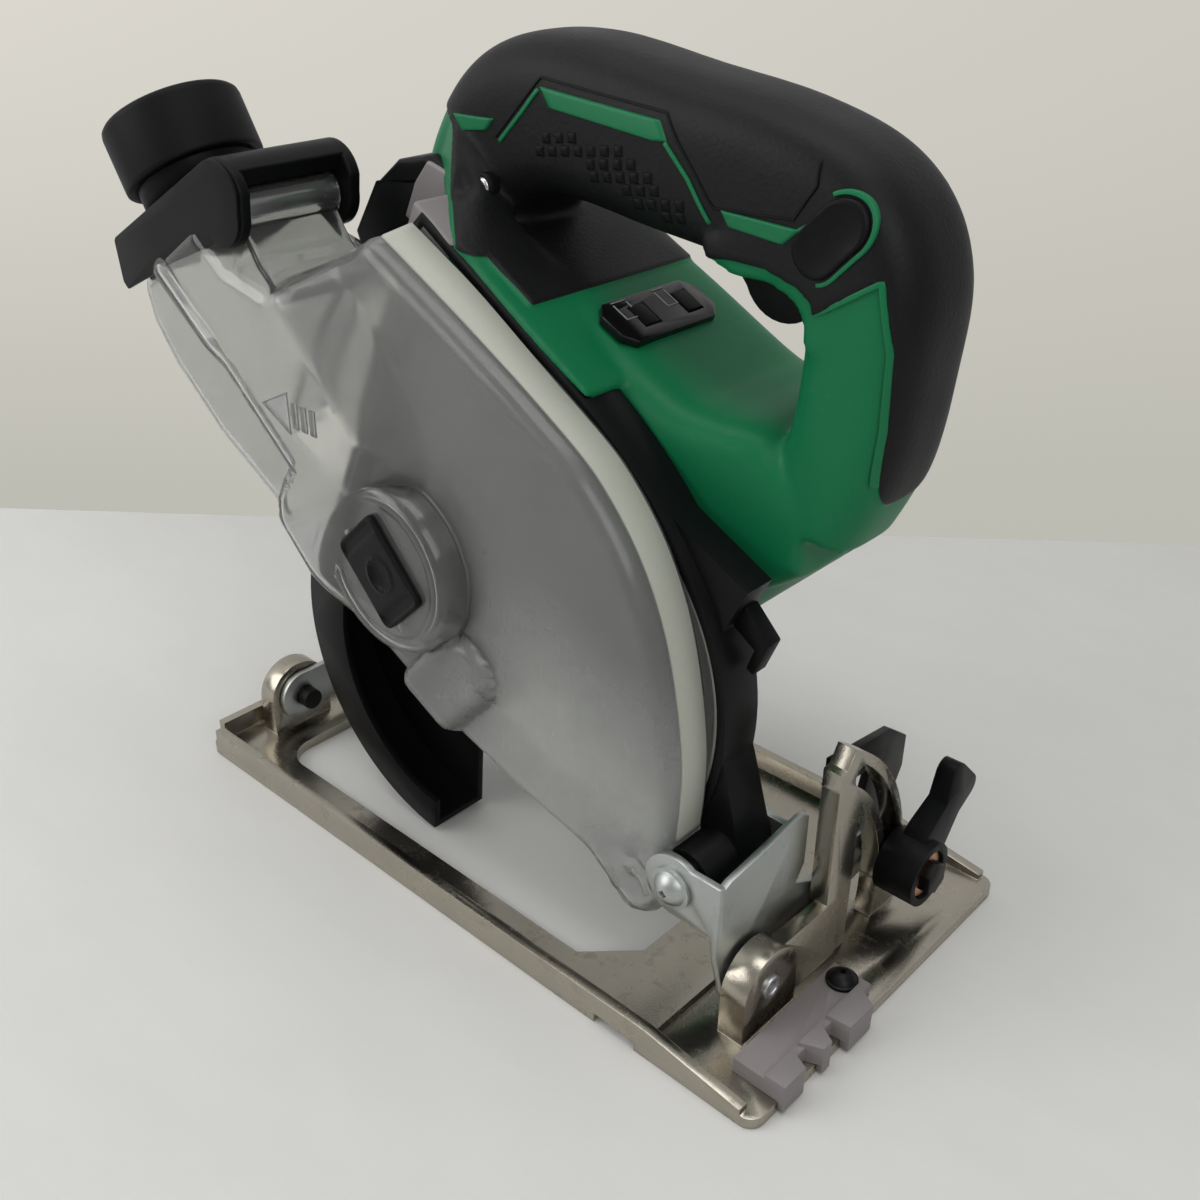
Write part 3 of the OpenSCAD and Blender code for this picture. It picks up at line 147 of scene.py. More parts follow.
def arc(centre, r, start, end, n):
    """Points on an arc, angles in degrees."""
    a = np.radians(np.linspace(start, end, n))
    return np.stack([centre[0] + r * np.cos(a), centre[1] + r * np.sin(a)], -1)


def paced(p, step, least, closed):
    """A line of points walked in equal steps of about that length."""
    far = np.concatenate([[0], np.cumsum(np.linalg.norm(np.diff(p, axis=0), axis=1))])
    count = max(int(far[-1] / step), least)
    at = np.linspace(0, far[-1], count if closed else count + 1, endpoint=not closed)
    return np.stack([np.interp(at, far, p[:, i]) for i in (0, 1)], -1)


def walked(outline, step):
    """The closed outline walked in equal steps."""
    p = np.asarray(outline, float)
    return paced(np.vstack([p, p[:1]]), step, 8, True)


def stepped(line, step):
    """An open line walked in equal steps, with its unit tangents."""
    mid = paced(np.asarray(line, float), step, 4, False)
    return mid, tangents(mid)


def fanned(p, centre, scale):
    """X and z of rings between a centre and an outline, one ring for each share of the way."""
    return [c + scale * (p[:, i] - c) for i, c in enumerate(centre)]


def curtain(line, y0, y1, rows):
    """A side-view line drawn out along Y from y0 to y1."""
    level = np.linspace(y0, y1, rows)[:, None]
    return lifted(line[:, 0] + 0 * level, level + 0 * line[:, 0], line[:, 1] + 0 * level)


def prism(loop, y0, y1):
    """The walls of a closed side-view loop between y0 and y1."""
    p = walked(loop, 0.8)
    return curtain(p, y0, y1, 5), grid_faces(5, len(p), close_cols=True)


def lathe(profile, root, y, axis, around=72):
    """A closed profile of radius and height turned about an axis in the side view through the root."""
    r, h = np.asarray(profile, float).T[:, :, None]
    a = np.linspace(0, 2 * np.pi, around, endpoint=False)
    x = root[0] + h * axis[0] + r * np.cos(a) * -axis[1]
    z = root[1] + h * axis[1] + r * np.cos(a) * axis[0]
    return lifted(x, y + r * np.sin(a), z), grid_faces(len(profile), around, close_rows=True, close_cols=True)


def slab(outline, y0, y1, r, step=1.2, centre=None):
    """A plate between y0 and y1 with round edges: rings from the middle of one face out, round the edge,
    along the side and back to the middle of the other face."""
    p = walked(outline, step)
    c = p.mean(0) if centre is None else np.asarray(centre, float)
    a = np.linspace(0, np.pi / 2, 5)
    inset = np.concatenate([r * (1 - np.sin(a)), r * (1 - np.cos(a))])
    level = np.concatenate([[y0, y0], y0 + r * (1 - np.cos(a)), y1 - r * (1 - np.sin(a)), [y1, y1]])
    size = np.linalg.norm(p - c, axis=1)
    scale = np.clip(1 - inset[:, None] / size[None, :], 0.02, 1)
    scale = np.vstack([0 * size, 0.55 * scale[:1], scale, 0.55 * scale[-1:], 0 * size])
    x, z = fanned(p, c, scale)
    return lifted(x, level[:, None] + 0 * x, z), grid_faces(*x.shape, close_cols=True)


def meshed(name, points, quads):
    """A mesh in metres from points in millimetres and quads."""
    mesh = bpy.data.meshes.new(name)
    mesh.from_pydata(np.asarray(points).reshape(-1, 3) * MM, [], quads.tolist())
    mesh.validate()
    return mesh


def put(name, points, quads, look, body, slot=None, smooth=True, replaces=()):
    """Makes a piece with its finish and its body. The slot argument is not used."""
    mesh = meshed(name, points, quads)
    mesh.polygons.foreach_set("use_smooth", np.full(len(mesh.polygons), smooth))
    obj = bpy.data.objects.new(name, mesh)
    bpy.context.scene.collection.objects.link(obj)
    obj.data.materials.append(finish(look))
    slot = slot or look
    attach(obj, body)
    if replaces:
        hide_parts(*replaces)
    return obj


def settled(obj):
    """Applies the object's modifiers to its mesh."""
    mesh = bpy.data.meshes.new_from_object(obj.evaluated_get(bpy.context.evaluated_depsgraph_get()))
    old = obj.data
    obj.modifiers.clear()
    obj.data = mesh
    bpy.data.meshes.remove(old)
    return obj


def coordinates(mesh, normals=False):
    """The mesh's points, in millimetres, or its point normals, as one array."""
    flat = np.empty(len(mesh.vertices) * 3)
    if normals:
        mesh.vertex_normals.foreach_get("vector", flat)
        return flat.reshape(-1, 3)
    mesh.vertices.foreach_get("co", flat)
    return flat.reshape(-1, 3) / MM


def attribute(mesh, name, values):
    """Keeps one number per point under a name that a finish can read."""
    mesh.attributes.new(name, "FLOAT", "POINT").data.foreach_set("value", values.astype(np.float32))


# Finishes.

class Value:
    """A number at a socket. Arithmetic on it adds Math nodes."""

    def __init__(self, tree, socket):
        self.tree, self.socket = tree, socket

    def math(self, operation, *values):
        node = self.tree.nodes.new("ShaderNodeMath")
        node.operation = operation
        for place, value in zip(node.inputs, values):
            if isinstance(value, Value):
                self.tree.links.new(value.socket, place)
            else:
                place.default_value = value
        return Value(self.tree, node.outputs[0])

    def __add__(self, other): return self.math("ADD", self, other)
    def __sub__(self, other): return self.math("SUBTRACT", self, other)
    def __mul__(self, other): return self.math("MULTIPLY", self, other)
    def __gt__(self, other): return self.math("GREATER_THAN", self, other)
    def __lt__(self, other): return self.math("LESS_THAN", self, other)
    def least(self, other): return self.math("MINIMUM", self, other)
    def most(self, other): return self.math("MAXIMUM", self, other)

    def ease(self, low, high):
        """Smoothstep from low to high."""
        node = self.tree.nodes.new("ShaderNodeMapRange")
        node.interpolation_type = "SMOOTHSTEP"
        self.tree.links.new(self.socket, node.inputs["Value"])
        node.inputs["From Min"].default_value = low
        node.inputs["From Max"].default_value = high
        return Value(self.tree, node.outputs["Result"])


class Finish:
    """A material with one Principled shader; node() adds any other node."""

    def __init__(self, name, **constants):
        self.material = bpy.data.materials.new(name)
        self.material.use_nodes = True
        self.tree = self.material.node_tree
        self.tree.nodes.clear()
        self.shader = self.node("ShaderNodeBsdfPrincipled")
        for key, value in constants.items():
            self.shader.inputs[key.replace("_", " ")].default_value = value
        self.end = self.node("ShaderNodeOutputMaterial", {}, {"Surface": self.shader.outputs[0]})
        self.place = self.node("ShaderNodeTexCoord").outputs["Object"]

    def node(self, kind, settings=None, sockets=None):
        """One node: its settings first, then the values or links of its sockets."""
        node = self.tree.nodes.new(kind)
        for key, value in (settings or {}).items():
            if key == "stops":
                while len(node.color_ramp.elements) < len(value):
                    node.color_ramp.elements.new(1.0)
                for element, (at, colour) in zip(node.color_ramp.elements, value):
                    element.position, element.color = at, (*colour, 1)
            else:
                setattr(node, key, value)
        for key, value in (sockets or {}).items():
            self.feed(node.inputs[key], value)
        return node

    def feed(self, socket, value):
        if isinstance(value, Value):
            value = value.socket
        if isinstance(value, bpy.types.NodeSocket):
            self.tree.links.new(value, socket)
        else:
            socket.default_value = value

    def set(self, name, value):
        self.feed(self.shader.inputs[name], value)

    def noise(self, size, detail=2.0, rough=0.5, stretch=None):
        """Noise between 0 and 1 with features of about that size in millimetres."""
        where = self.place
        if stretch:
            where = self.node("ShaderNodeMapping", {}, {"Vector": where, "Scale": stretch}).outputs[0]
        node = self.node("ShaderNodeTexNoise", {}, {"Vector": where, "Scale": 1 / (size * MM),
                                                    "Detail": detail, "Roughness": rough})
        return Value(self.tree, node.outputs["Fac"])

    def kept(self, name):
        """A number that the mesh keeps at its points."""
        node = self.node("ShaderNodeAttribute", {"attribute_name": name})
        return Value(self.tree, node.outputs["Fac"])

    def mix(self, share, a, b):
        """Colour a where the share is 0 and b where it is 1."""
        node = self.node("ShaderNodeMix", {"data_type": "RGBA"})
        self.feed(node.inputs[0], share)
        self.feed(node.inputs[6], a)
        self.feed(node.inputs[7], b)
        return node.outputs[2]

    def veil(self, share, base, rough):
        """Lays a second, opaque layer over the first where the share is above 0."""
        layer = self.node("ShaderNodeBsdfPrincipled", {}, {"Base Color": base, "Roughness": rough})
        both = self.node("ShaderNodeMixShader", {}, {0: share, 1: self.shader.outputs[0], 2: layer.outputs[0]})
        self.feed(self.end.inputs["Surface"], both.outputs[0])

    def bump(self, height, depth):
        """Bump of that depth in millimetres into the shader's normal, on any bump that is there."""
        node = self.node("ShaderNodeBump", {}, {"Strength": 1.0, "Distance": depth * MM})
        self.feed(node.inputs["Height"], height)
        link = self.shader.inputs["Normal"].links
        if link:
            self.tree.links.new(link[0].from_socket, node.inputs["Normal"])
        self.set("Normal", node.outputs[0])


FINISHES = {}


def colour(c, k=1.0):
    """A colour, made lighter or darker by a factor, with full alpha."""
    return (c[0] * k, c[1] * k, c[2] * k, 1.0)


def finish(name):
    """The material of a finish that has been made."""
    return FINISHES[name].material


def moulded(name, base, rough, grain=0.35, depth=0.02, scuff=0.5, dust=(0.30, 0.30, 0.29), shine=0.5):
    """Moulded plastic: fine spark-eroded grain, patchy gloss and pale rubbing marks."""
    f = Finish(name, IOR=1.47, Specular_IOR_Level=shine)
    fine = f.noise(grain, 2.0)
    patch = f.noise(26, 4.0, 0.6)
    streak = f.noise(5, 5.0, 0.7, (1, 1, 2.4))
    worn = (patch * streak).ease(0.30, 0.62) * scuff
    f.set("Base Color", f.mix(worn * 0.14, f.mix(fine * 0.5, colour(base, 0.88), colour(base, 1.14)), colour(dust)))
    f.set("Roughness", fine * 0.10 + patch * 0.10 + (rough - 0.10))
    f.bump(fine, depth)
    FINISHES[name] = f
    return f


def cast_metal(name, base, rough, pit=0.6, depth=0.03, cloud=0.35, dark=(0.20, 0.17, 0.13)):
    """Plated casting: clouded sheen, small pits and dull brown tarnish in patches."""
    f = Finish(name, Metallic=1.0)
    cloud_map = f.noise(14, 5.0, 0.6)
    tarnish = f.noise(7, 6.0, 0.7).ease(0.52, 0.74) * cloud
    fine = f.noise(pit, 3.0)
    f.set("Base Color", f.mix(tarnish, f.mix(cloud_map, colour(base, 0.85), colour(base, 1.12)), colour(dark)))
    f.set("Roughness", cloud_map * 0.2 + tarnish * 0.35 + (rough - 0.1))
    f.bump(fine, depth)
    FINISHES[name] = f


class SawSizes(bpy.types.PropertyGroup):
    """Sizes that a user would change."""
    edge: bpy.props.FloatProperty(name="Edge round", description="Rounding of the hard parts' edges",
                                  default=0.0005, unit="LENGTH")
    voxel: bpy.props.FloatProperty(name="Shell grid", description="Grid that melts the handle into the body",
                                   default=0.0013, unit="LENGTH")
    relief: bpy.props.FloatProperty(name="Overmould relief", description="Height of the soft black layer",
                                    default=0.0009, unit="LENGTH")


class SawColours(bpy.types.PropertyGroup):
    """Colours that a user would change."""
    green: bpy.props.FloatVectorProperty(name="Body green", description="Colour of the moulded body",
                                         default=(0.005, 0.150, 0.056), subtype="COLOR")
    black: bpy.props.FloatVectorProperty(name="Black", description="Black plastic and rubber",
                                         default=(0.0050, 0.0052, 0.0056), subtype="COLOR")
    nickel: bpy.props.FloatVectorProperty(name="Base plate", description="Nickel-plated casting",
                                          default=(0.40, 0.37, 0.31), subtype="COLOR")
    zinc: bpy.props.FloatVectorProperty(name="Zinc", description="Zinc-plated sheet",
                                        default=(0.46, 0.48, 0.47), subtype="COLOR")
    grey: bpy.props.FloatVectorProperty(name="Grey plastic", description="Sight guide",
                                        default=(0.21, 0.19, 0.19), subtype="COLOR")
    band: bpy.props.FloatVectorProperty(name="Cover band", description="Pale seal round the clear cover",
                                        default=(0.42, 0.43, 0.37), subtype="COLOR")
    liner: bpy.props.FloatVectorProperty(name="Liner", description="Pale liner behind the clear cover",
                                         default=(0.30, 0.31, 0.29), subtype="COLOR")
    floor: bpy.props.FloatVectorProperty(name="Floor", description="Floor and wall",
                                         default=(0.60, 0.597, 0.578), subtype="COLOR")


SOOT = (0.10, 0.10, 0.10)
CHAMBER_R, CHAMBER_Y = 0.0685, (-0.0197, -0.0165)


class SAW_OT_finishes(bpy.types.Operator):
    """Makes every material: moulded plastics, rubber, castings, sheet, steel and clear plastic"""
    bl_idname = "saw.finishes"
    bl_label = "Finishes"

    def execute(self, context):
        c = context.scene.saw_colours
        moulded("green_plastic", c.green, 0.42, 0.5, 0.03, shine=0.25)
        moulded("black_plastic", c.black, 0.42, 0.4, 0.03, 0.3, SOOT, 0.12)
        moulded("grip_rubber", c.black, 0.50, 0.5, 0.05, 0.3, SOOT, 0.12)
        moulded("glossy_black", c.black, 0.20, 0.4, 0.005, 0.4, SOOT, 0.4)
        moulded("grey_plastic", c.grey, 0.5, 0.4, 0.02)
        moulded("cover_band", c.band, 0.5, 0.6, 0.01, 0.2)
        moulded("liner", c.liner, 0.45, 0.8, 0.02, 0.3)
        moulded("pale_print", (0.30, 0.31, 0.31), 0.45, 0.3, 0.002, 0.3)
        cast_metal("nickel_casting", c.nickel, 0.24)
        cast_metal("zinc_sheet", c.zinc, 0.40, 0.5, 0.01, 0.6, (0.40, 0.41, 0.40))
        cast_metal("steel", (0.56, 0.56, 0.57), 0.3, 0.3, 0.004, 0.2)
        cast_metal("black_metal", (0.022, 0.021, 0.021), 0.45, 0.4, 0.02, 0.3, (0.05, 0.04, 0.03))
        cast_metal("copper", (0.62, 0.36, 0.24), 0.42, 0.5, 0.01)
        cast_metal("motor_core", (0.20, 0.20, 0.21), 0.5, 0.5, 0.02)
        self.dusty_case(c.black, c.liner)
        self.clear_plastic()
        return {"FINISHED"}

    @staticmethod
    def dusty_case(black, pale):
        """Black case plastic, pale with dust on the chamber's back wall: inside a circle about the spindle and
        between two planes."""
        f = moulded("case_black", black, 0.38, 0.4, 0.03, 0.3, SOOT, 0.16)
        at = f.node("ShaderNodeSeparateXYZ", {}, {"Vector": f.place})
        x, y, z = (Value(f.tree, socket) for socket in at.outputs)
        u, w = x - SPINDLE[0], z - SPINDLE[2]
        inside = (u * u + w * w < CHAMBER_R ** 2) * (y > CHAMBER_Y[0]) * (y < CHAMBER_Y[1])
        f.set("Base Color", f.mix(inside, f.shader.inputs["Base Color"].links[0].from_socket, colour(pale)))

    @staticmethod
    def clear_plastic():
        """Clear plastic under a grey veil: real frost, whose grey paints the shade of the dark inside seen through
        it. The mesh keeps how thick the veil is and how pale.
        """
        f = FINISHES["clear_plastic"] = Finish("clear_plastic", IOR=1.46, Transmission_Weight=1.0,
                                               Base_Color=(0.97, 0.98, 0.98, 1))
        cloud, haze = f.noise(18, 5.0, 0.65), f.kept("haze")
        scratch = f.noise(1.6, 4.0, 0.7, (1, 1, 0.12)).ease(0.60, 0.74)
        f.set("Roughness", cloud.ease(0.35, 0.8) * 0.10 + haze * 0.22 + 0.04)
        share = haze * (cloud * 0.5 + 0.75) + scratch * haze * 0.18
        # painted shade: the veil's grey stands for the shaded inside seen through the frosted plastic
        frost_and_shade = f.mix(f.kept("pale"), (0.19, 0.195, 0.185, 1), (0.42, 0.43, 0.41, 1))
        f.veil(share.least(0.9), frost_and_shade, 0.4)


# Handle and body. HANDLE has x, z, half depth and half width; BODY has x, z, half depth, right and left Y;
# SHOULDER has x and the rise at the handle. Outlines are x and z of the level head.

HANDLE_Y = 13.0
HANDLE = [(-100, 126, 25, 19), (-105, 148, 22, 19), (-99, 168, 22.5, 19), (-81, 182, 21.5, 19), (-48, 194, 21, 19),
          (-17, 205, 20.5, 19), (6, 209, 19.5, 19), (21, 202, 17.5, 19), (31, 183, 16.5, 19), (39, 160, 16.5, 19),
          (41, 138, 16, 19)]
BODY = [(-112, 116, 16, -10, 47), (-92, 118, 26, -15, 55), (-50, 120, 26, -15, 55), (-6, 120, 26, -15, 55),
        (12, 123.5, 26.5, -13, 54), (30, 130, 26, -9, 50), (46, 137, 13, -6, 42)]
LIP = [(-22, 187), (-18.5, 183.6), (-9.2, 184.4), (0.4, 190), (9.4, 190.8), (15, 188.2), (19, 181), (24, 186),
       (22, 204), (-10, 200)]
LIP_T, LIP_OUT = 3.6, 19.2
SHOULDER = [(-118, 14), (-108, 14), (-98, 10), (-88, 4.5), (-76, 1.5), (-60, 0.8), (-42, 1), (-26, 0.8), (-20, 0.3)]
SHOULDER_Y, SHOULDER_WALL, SHOULDER_POWER = (-29.8, -4.0), 2.6, 1.8
FAN, FAN_X, FAN_RUN = 36, -48, 70
CASE_X, CASE_Z, CASE_SLOPE, SEAL_SLOPE = -23.4, 139.8, -0.0866, 0.0165
COVER_SWING, HEAD_REACH, FREE_REACH, FREE_Y = 209, 205, 40, (-13.5, -9)
SOFT = [(-97, 130.5), (-65.2, 131), (-50, 147.5), (-18.5, 184), (-11.6, 188.5), (-1.5, 193.4), (8.8, 195.4),
        (13.6, 194.8), (16.1, 192.6), (26.9, 211.5), (37.9, 198), (47, 179.5), (53, 164), (56, 157), (66, 157),
        (75, 170), (60, 260), (-140, 260), (-140, 165), (-124, 150), (-110, 130.5)]
RIM_X, RIM = (-97, -60), (5.5, 8.0)
REAR_X, REAR_Y, REAR_RUN, REAR_SWEEP, REAR_COS, REAR_RIM, REAR_TOP = -82, -30, 24, 1.5, 0.53, 2.0, 160
HANDLE_POWER = 3.2
LINK_R, LINK_TURN, LINK_Y = (148.6, 167.7), (155.3, 226.9), (17.0, 20.5)


def with_middle(stations):
    """The stations with the handle's middle as their Y."""
    return [(*s, HANDLE_Y) for s in stations]


def case_top(x):
    """Heights at x of the blade case's straight top edge and of the seal beside it."""
    return CASE_Z + CASE_SLOPE * (x - CASE_X), CASE_Z + SEAL_SLOPE * (x - CASE_X)


def shoulder():
    """The flank that sweeps from the seal up into the handle's leg: across each station the height grows as the
    power 1.8 of the way in from the case's edge. Its rear stations fan out, and beside the cover it stays inside
    the circle that the cover's web swings on."""
    row = smooth_line(SHOULDER, 10)
    t = np.linspace(0, 1, 14)
    n = len(t)
    y0, y1 = SHOULDER_Y
    inner = y0 + SHOULDER_WALL
    y = np.concatenate([[y0], y0 + (y1 - y0) * t, [y1, inner, inner]])
    x = row[:, :1] + FAN * np.clip((FAN_X - row[:, :1]) / FAN_RUN, 0, 1) * (y1 - y) / (y1 - y0)
    top, low = case_top(x)
    z = np.hstack([low[:, :1] + 0.4, top[:, 1:n + 1] + 1.5 + row[:, 1:] * t ** SHOULDER_POWER,
                   top[:, n + 1:n + 3] - 1, low[:, -1:] + 0.4])
    reach = np.hypot(x - PIVOT[0], z - PIVOT[1])
    less = np.minimum(1, (HEAD_REACH + FREE_REACH * eased(y, *FREE_Y)) / reach)
    return capped(lifted(PIVOT[0] + less * (x - PIVOT[0]), y + 0 * x, PIVOT[1] + less * (z - PIVOT[1])))


def soft_depth(x, y, z):
    """Distance inside the soft black layer: within its side-view outline; above the green rim along the seal, or as
    far in from the case's edge; and ahead of a slanting rear edge, below that edge's top."""
    rim = np.interp(x, RIM_X, RIM)
    flank = np.maximum(z - case_top(x)[1] - rim, y - SHOULDER_Y[0] - rim)
    ahead = REAR_COS * (x - REAR_X + REAR_SWEEP * np.clip(y - REAR_Y, 0, REAR_RUN)) - REAR_RIM
    return np.minimum(np.minimum(polygon_depth(x, z, SOFT), flank), np.maximum(ahead, z - REAR_TOP))


def handle_side(x, z, grow):
    """Y of the handle's right side over side-view points: the superellipse of the nearest station."""
    row = smooth_line(with_middle(HANDLE), 24)
    way = tangents(row[:, :2])
    x, z = np.asarray(x, float), np.asarray(z, float)
    near = np.argmin(np.hypot(x[..., None] - row[:, 0], z[..., None] - row[:, 1]), -1)
    off = np.abs(-(x - row[near, 0]) * way[near, 1] + (z - row[near, 1]) * way[near, 0])
    share = np.clip(off / (row[near, 2] + grow), 0, 0.999)
    return HANDLE_Y - (row[near, 3] + grow) * (1 - share ** HANDLE_POWER) ** (1 / HANDLE_POWER)


class SAW_OT_shell(bpy.types.Operator):
    """Melts handle, body and flank into one shell, cuts the link's slot and raises the soft black layer"""
    bl_idname = "saw.shell"
    bl_label = "Handle and body"

    def execute(self, context):
        sizes = context.scene.saw_sizes
        wide = [(x, z, deep, (left - right) / 2, (left + right) / 2) for x, z, deep, right, left in BODY]
        lips = [slab(LIP, HANDLE_Y + y, HANDLE_Y + y + LIP_T, 0.8) for y in (-LIP_OUT, LIP_OUT - LIP_T)]
        whole = joined(tube(with_middle(HANDLE), HANDLE_POWER), tube(wide, 5), shoulder(), *lips)
        obj = put("handle_shell", *whole, "green_plastic", "head",
                  replaces=("housing_right", "housing_left", "handle_grip"))
        melt = obj.modifiers.new("melt", "REMESH")
        melt.mode, melt.voxel_size, melt.use_smooth_shade = "VOXEL", sizes.voxel, True
        ease = obj.modifiers.new("ease", "SMOOTH")
        ease.factor, ease.iterations = 0.5, 10
        slot = bpy.data.objects.new("link_slot", self.link_slot())
        context.scene.collection.objects.link(slot)
        room = obj.modifiers.new("link_slot", "BOOLEAN")
        room.operation, room.solver, room.object = "DIFFERENCE", "EXACT", slot
        settled(obj)
        bpy.data.objects.remove(slot)
        mesh = obj.data
        at, out = coordinates(mesh), coordinates(mesh, True)
        soft = soft_depth(*levelled(at))
        at += out * (sizes.relief / MM * eased(soft, -0.7, 0.5))[:, None]
        mesh.vertices.foreach_set("co", (at * MM).ravel())
        attribute(mesh, "soft", soft)
        mesh.polygons.foreach_set("use_smooth", np.full(len(mesh.polygons), True))
        mesh.update()
        mesh.materials.clear()
        mesh.materials.append(self.layered(context.scene.saw_colours))
        return {"FINISHED"}

    @staticmethod
    def layered(c):
        """Green plastic, and black rubber with a coarser grain where the mesh keeps a soft depth above 0."""
        f = moulded("handle_shell", c.green, 0.42, 0.5, 0.03, shine=0.2)
        share = f.kept("soft").ease(-0.15, 0.05)
        green = f.shader.inputs["Base Color"].links[0].from_socket
        black = f.mix(f.noise(0.8, 3.0), colour(c.black, 0.8), colour(c.black, 1.3))
        f.set("Base Color", f.mix(share, green, black))
        f.set("Roughness", share * 0.06 + f.noise(0.5) * 0.1 + f.noise(22, 4) * 0.14 + 0.30)
        f.bump(f.noise(1.3, 2.0, 0.4) * share, 0.10)
        return f.material

    @staticmethod
    def link_slot():
        """The room in which the depth link swings: a box section carried along an arc about the depth pivot."""
        turn = np.radians(np.linspace(*LINK_TURN, 40))[:, None]
        r, y = np.array(LINK_R)[[0, 1, 1, 0]], np.array(LINK_Y)[[0, 0, 1, 1]]
        ring, quads = capped(lifted(PIVOT[0] + r * np.cos(turn), y + 0 * turn, PIVOT[1] + r * np.sin(turn)))
        p = ring.reshape(-1, 3)[quads]
        inward = (p[:, 0] * np.cross(p[:, 1] - p[:, 0], p[:, 2] - p[:, 0])).sum() < 0
        return meshed("link_slot", ring, quads[:, ::-1] if inward else quads)


# Trims on the handle.

INLAYS = ([(-88.3, 189.0), (-47.5, 205.4), (-42.6, 202.3), (-46, 200.2), (-82.4, 186.2)],
          [(-115.3, 162.8), (-99.4, 171.5), (-100.7, 166.8), (-109.2, 161)],
          [(-20.4, 197.8), (2.7, 208.4), (0, 202), (-16.4, 195.4)])
THIN_LINES = (((-88, 188.4), (-90.5, 180), (-95.2, 166.5)), ((-44, 201.8), (-32.5, 198.1), (-21.3, 192.1)),
              ((1.4, 206.8), (3.6, 210.5)))
SEAM = ((-97, 166.8), (-92, 181.5), (-89, 191.2), (-47.2, 207.8), (-41, 204.6), (-30.4, 200.2), (-25, 197.6),
        (-22.2, 196.7), (-0.7, 209), (0.3, 219.3), (-3, 224))
POST_EDGE = ((16.1, 192.2), (26.9, 210.8), (37.9, 197.4), (47, 178.8), (53, 163.4))
DOT_ROWS = ((-79.7, 178.5, 3), (-80.4, 173.8, 7), (-62.7, 181.8, 4), (-60.4, 179.3, 5), (-48.9, 183.2, 3),
            (-44.2, 182, 4), (-34.6, 184.6, 2))
DOT_STEP, DOT_TURN = (4.1, 2.8), np.radians(30)
SCREW_AT = (-93.4, 153.3)
SCREW = (("screw_well", 4.0, -9.9, -6, "grip_rubber"), ("flank_screw", 2.7, -10.5, -7, "steel"))
PRINT_X, PRINT_Y, PRINT_Z, PRINT_LINE = (-42.5, -35), ((-1.4, 4.6), (16.6, 21.2)), (147.6, 148.2), 0.35
LOCK_AT, LOCK_WAY, LOCK_R, LOCK_TILT = np.array([10.0, 211.0]), np.array([1.5, 5.0]), 6.6, -17


def mirrored(points, quads):
    """The same on the handle's other side, with its faces turned back outwards."""
    flip = points.reshape(-1, 3).copy()
    flip[:, 1] = 2 * HANDLE_Y - flip[:, 1]
    return flip, quads[:, ::-1]


def ribbon(line, width, high, grow=1.0):
    """A raised strip on the handle's side: the line walked in steps, and across it a flat crown with
    round shoulders that sinks into the side at both edges."""
    mid, way = stepped(line, 0.8)
    c = np.array([-1, -0.97, -0.85, -0.6, 0, 0.6, 0.85, 0.97, 1])
    rise = high * np.array([-1.2, 0.1, 0.85, 1, 1, 1, 0.85, 0.1, -1.2])
    x = mid[:, 0, None] - way[:, 1, None] * c * width / 2
    z = mid[:, 1, None] + way[:, 0, None] * c * width / 2
    drop = np.where(np.arange(len(mid)) % (len(mid) - 1) == 0, -1.2 * high, 9)
    y = handle_side(x, z, grow) - np.minimum(rise, drop[:, None])
    return lifted(x, y, z), grid_faces(*x.shape)[:, ::-1]


def inlay(outline, high):
    """A flat raised patch on the handle's side: rings from its middle to the outline, level to the last two,
    which roll over and sink into the side."""
    p = walked(outline, 0.7)
    scale = np.array([0, 0.3, 0.6, 0.85, 0.93, 0.98, 1.0])[:, None]
    rise = high * np.array([1, 1, 1, 1, 0.85, 0.2, -1.2])[:, None]
    x, z = fanned(p, p.mean(0), scale)
    return lifted(x, handle_side(x, z, 1.0) - rise, z), grid_faces(*x.shape, close_cols=True)


def pad(x, z, width, high):
    """A little square pad on the handle's side: height falls off as the eighth power from its middle."""
    c = np.array([-1, -0.9, -0.6, 0, 0.6, 0.9, 1])
    u, v = np.meshgrid(c, c, indexing="ij")
    px = x + width / 2 * (u * np.cos(DOT_TURN) - v * np.sin(DOT_TURN))
    pz = z + width / 2 * (u * np.sin(DOT_TURN) + v * np.cos(DOT_TURN))
    y = handle_side(px, pz, 0.9) - high * (1 - np.maximum(np.abs(u), np.abs(v)) ** 8) + 0.15
    return lifted(px, y, pz), grid_faces(7, 7)


def lock_face():
    """The lock-off button's dished oval face on the handle's side: rings from its middle out to the rim and down."""
    p = walked(np.vstack([arc(LOCK_AT + LOCK_WAY, LOCK_R, LOCK_TILT, LOCK_TILT + 180, 24),
                          arc(LOCK_AT - LOCK_WAY, LOCK_R, LOCK_TILT + 180, LOCK_TILT + 360, 24)]), 0.8)
    scale = np.array([0, 0.25, 0.5, 0.7, 0.85, 0.93, 0.98, 1.0, 1.0])[:, None]
    rise = np.array([0.1, 0.15, 0.3, 0.55, 0.85, 0.95, 0.7, 0.2, -2.5])[:, None]
    x, z = fanned(p, LOCK_AT, scale)
    return lifted(x, handle_side(x, z, 1.0) - rise, z), grid_faces(*x.shape, close_cols=True)


def print_frame(x0, x1, y0, y1):
    """Four thin bars round a rectangle on the control panel's top."""
    w, (low, high) = PRINT_LINE, PRINT_Z
    sides = ((x0, x1, y0, y0 + w), (x0, x1, y1 - w, y1), (x0, x0 + w, y0, y1), (x1 - w, x1, y0, y1))
    return [slab([(a, low), (b, low), (b, high), (a, high)], c, d, 0.05, 4) for a, b, c, d in sides]


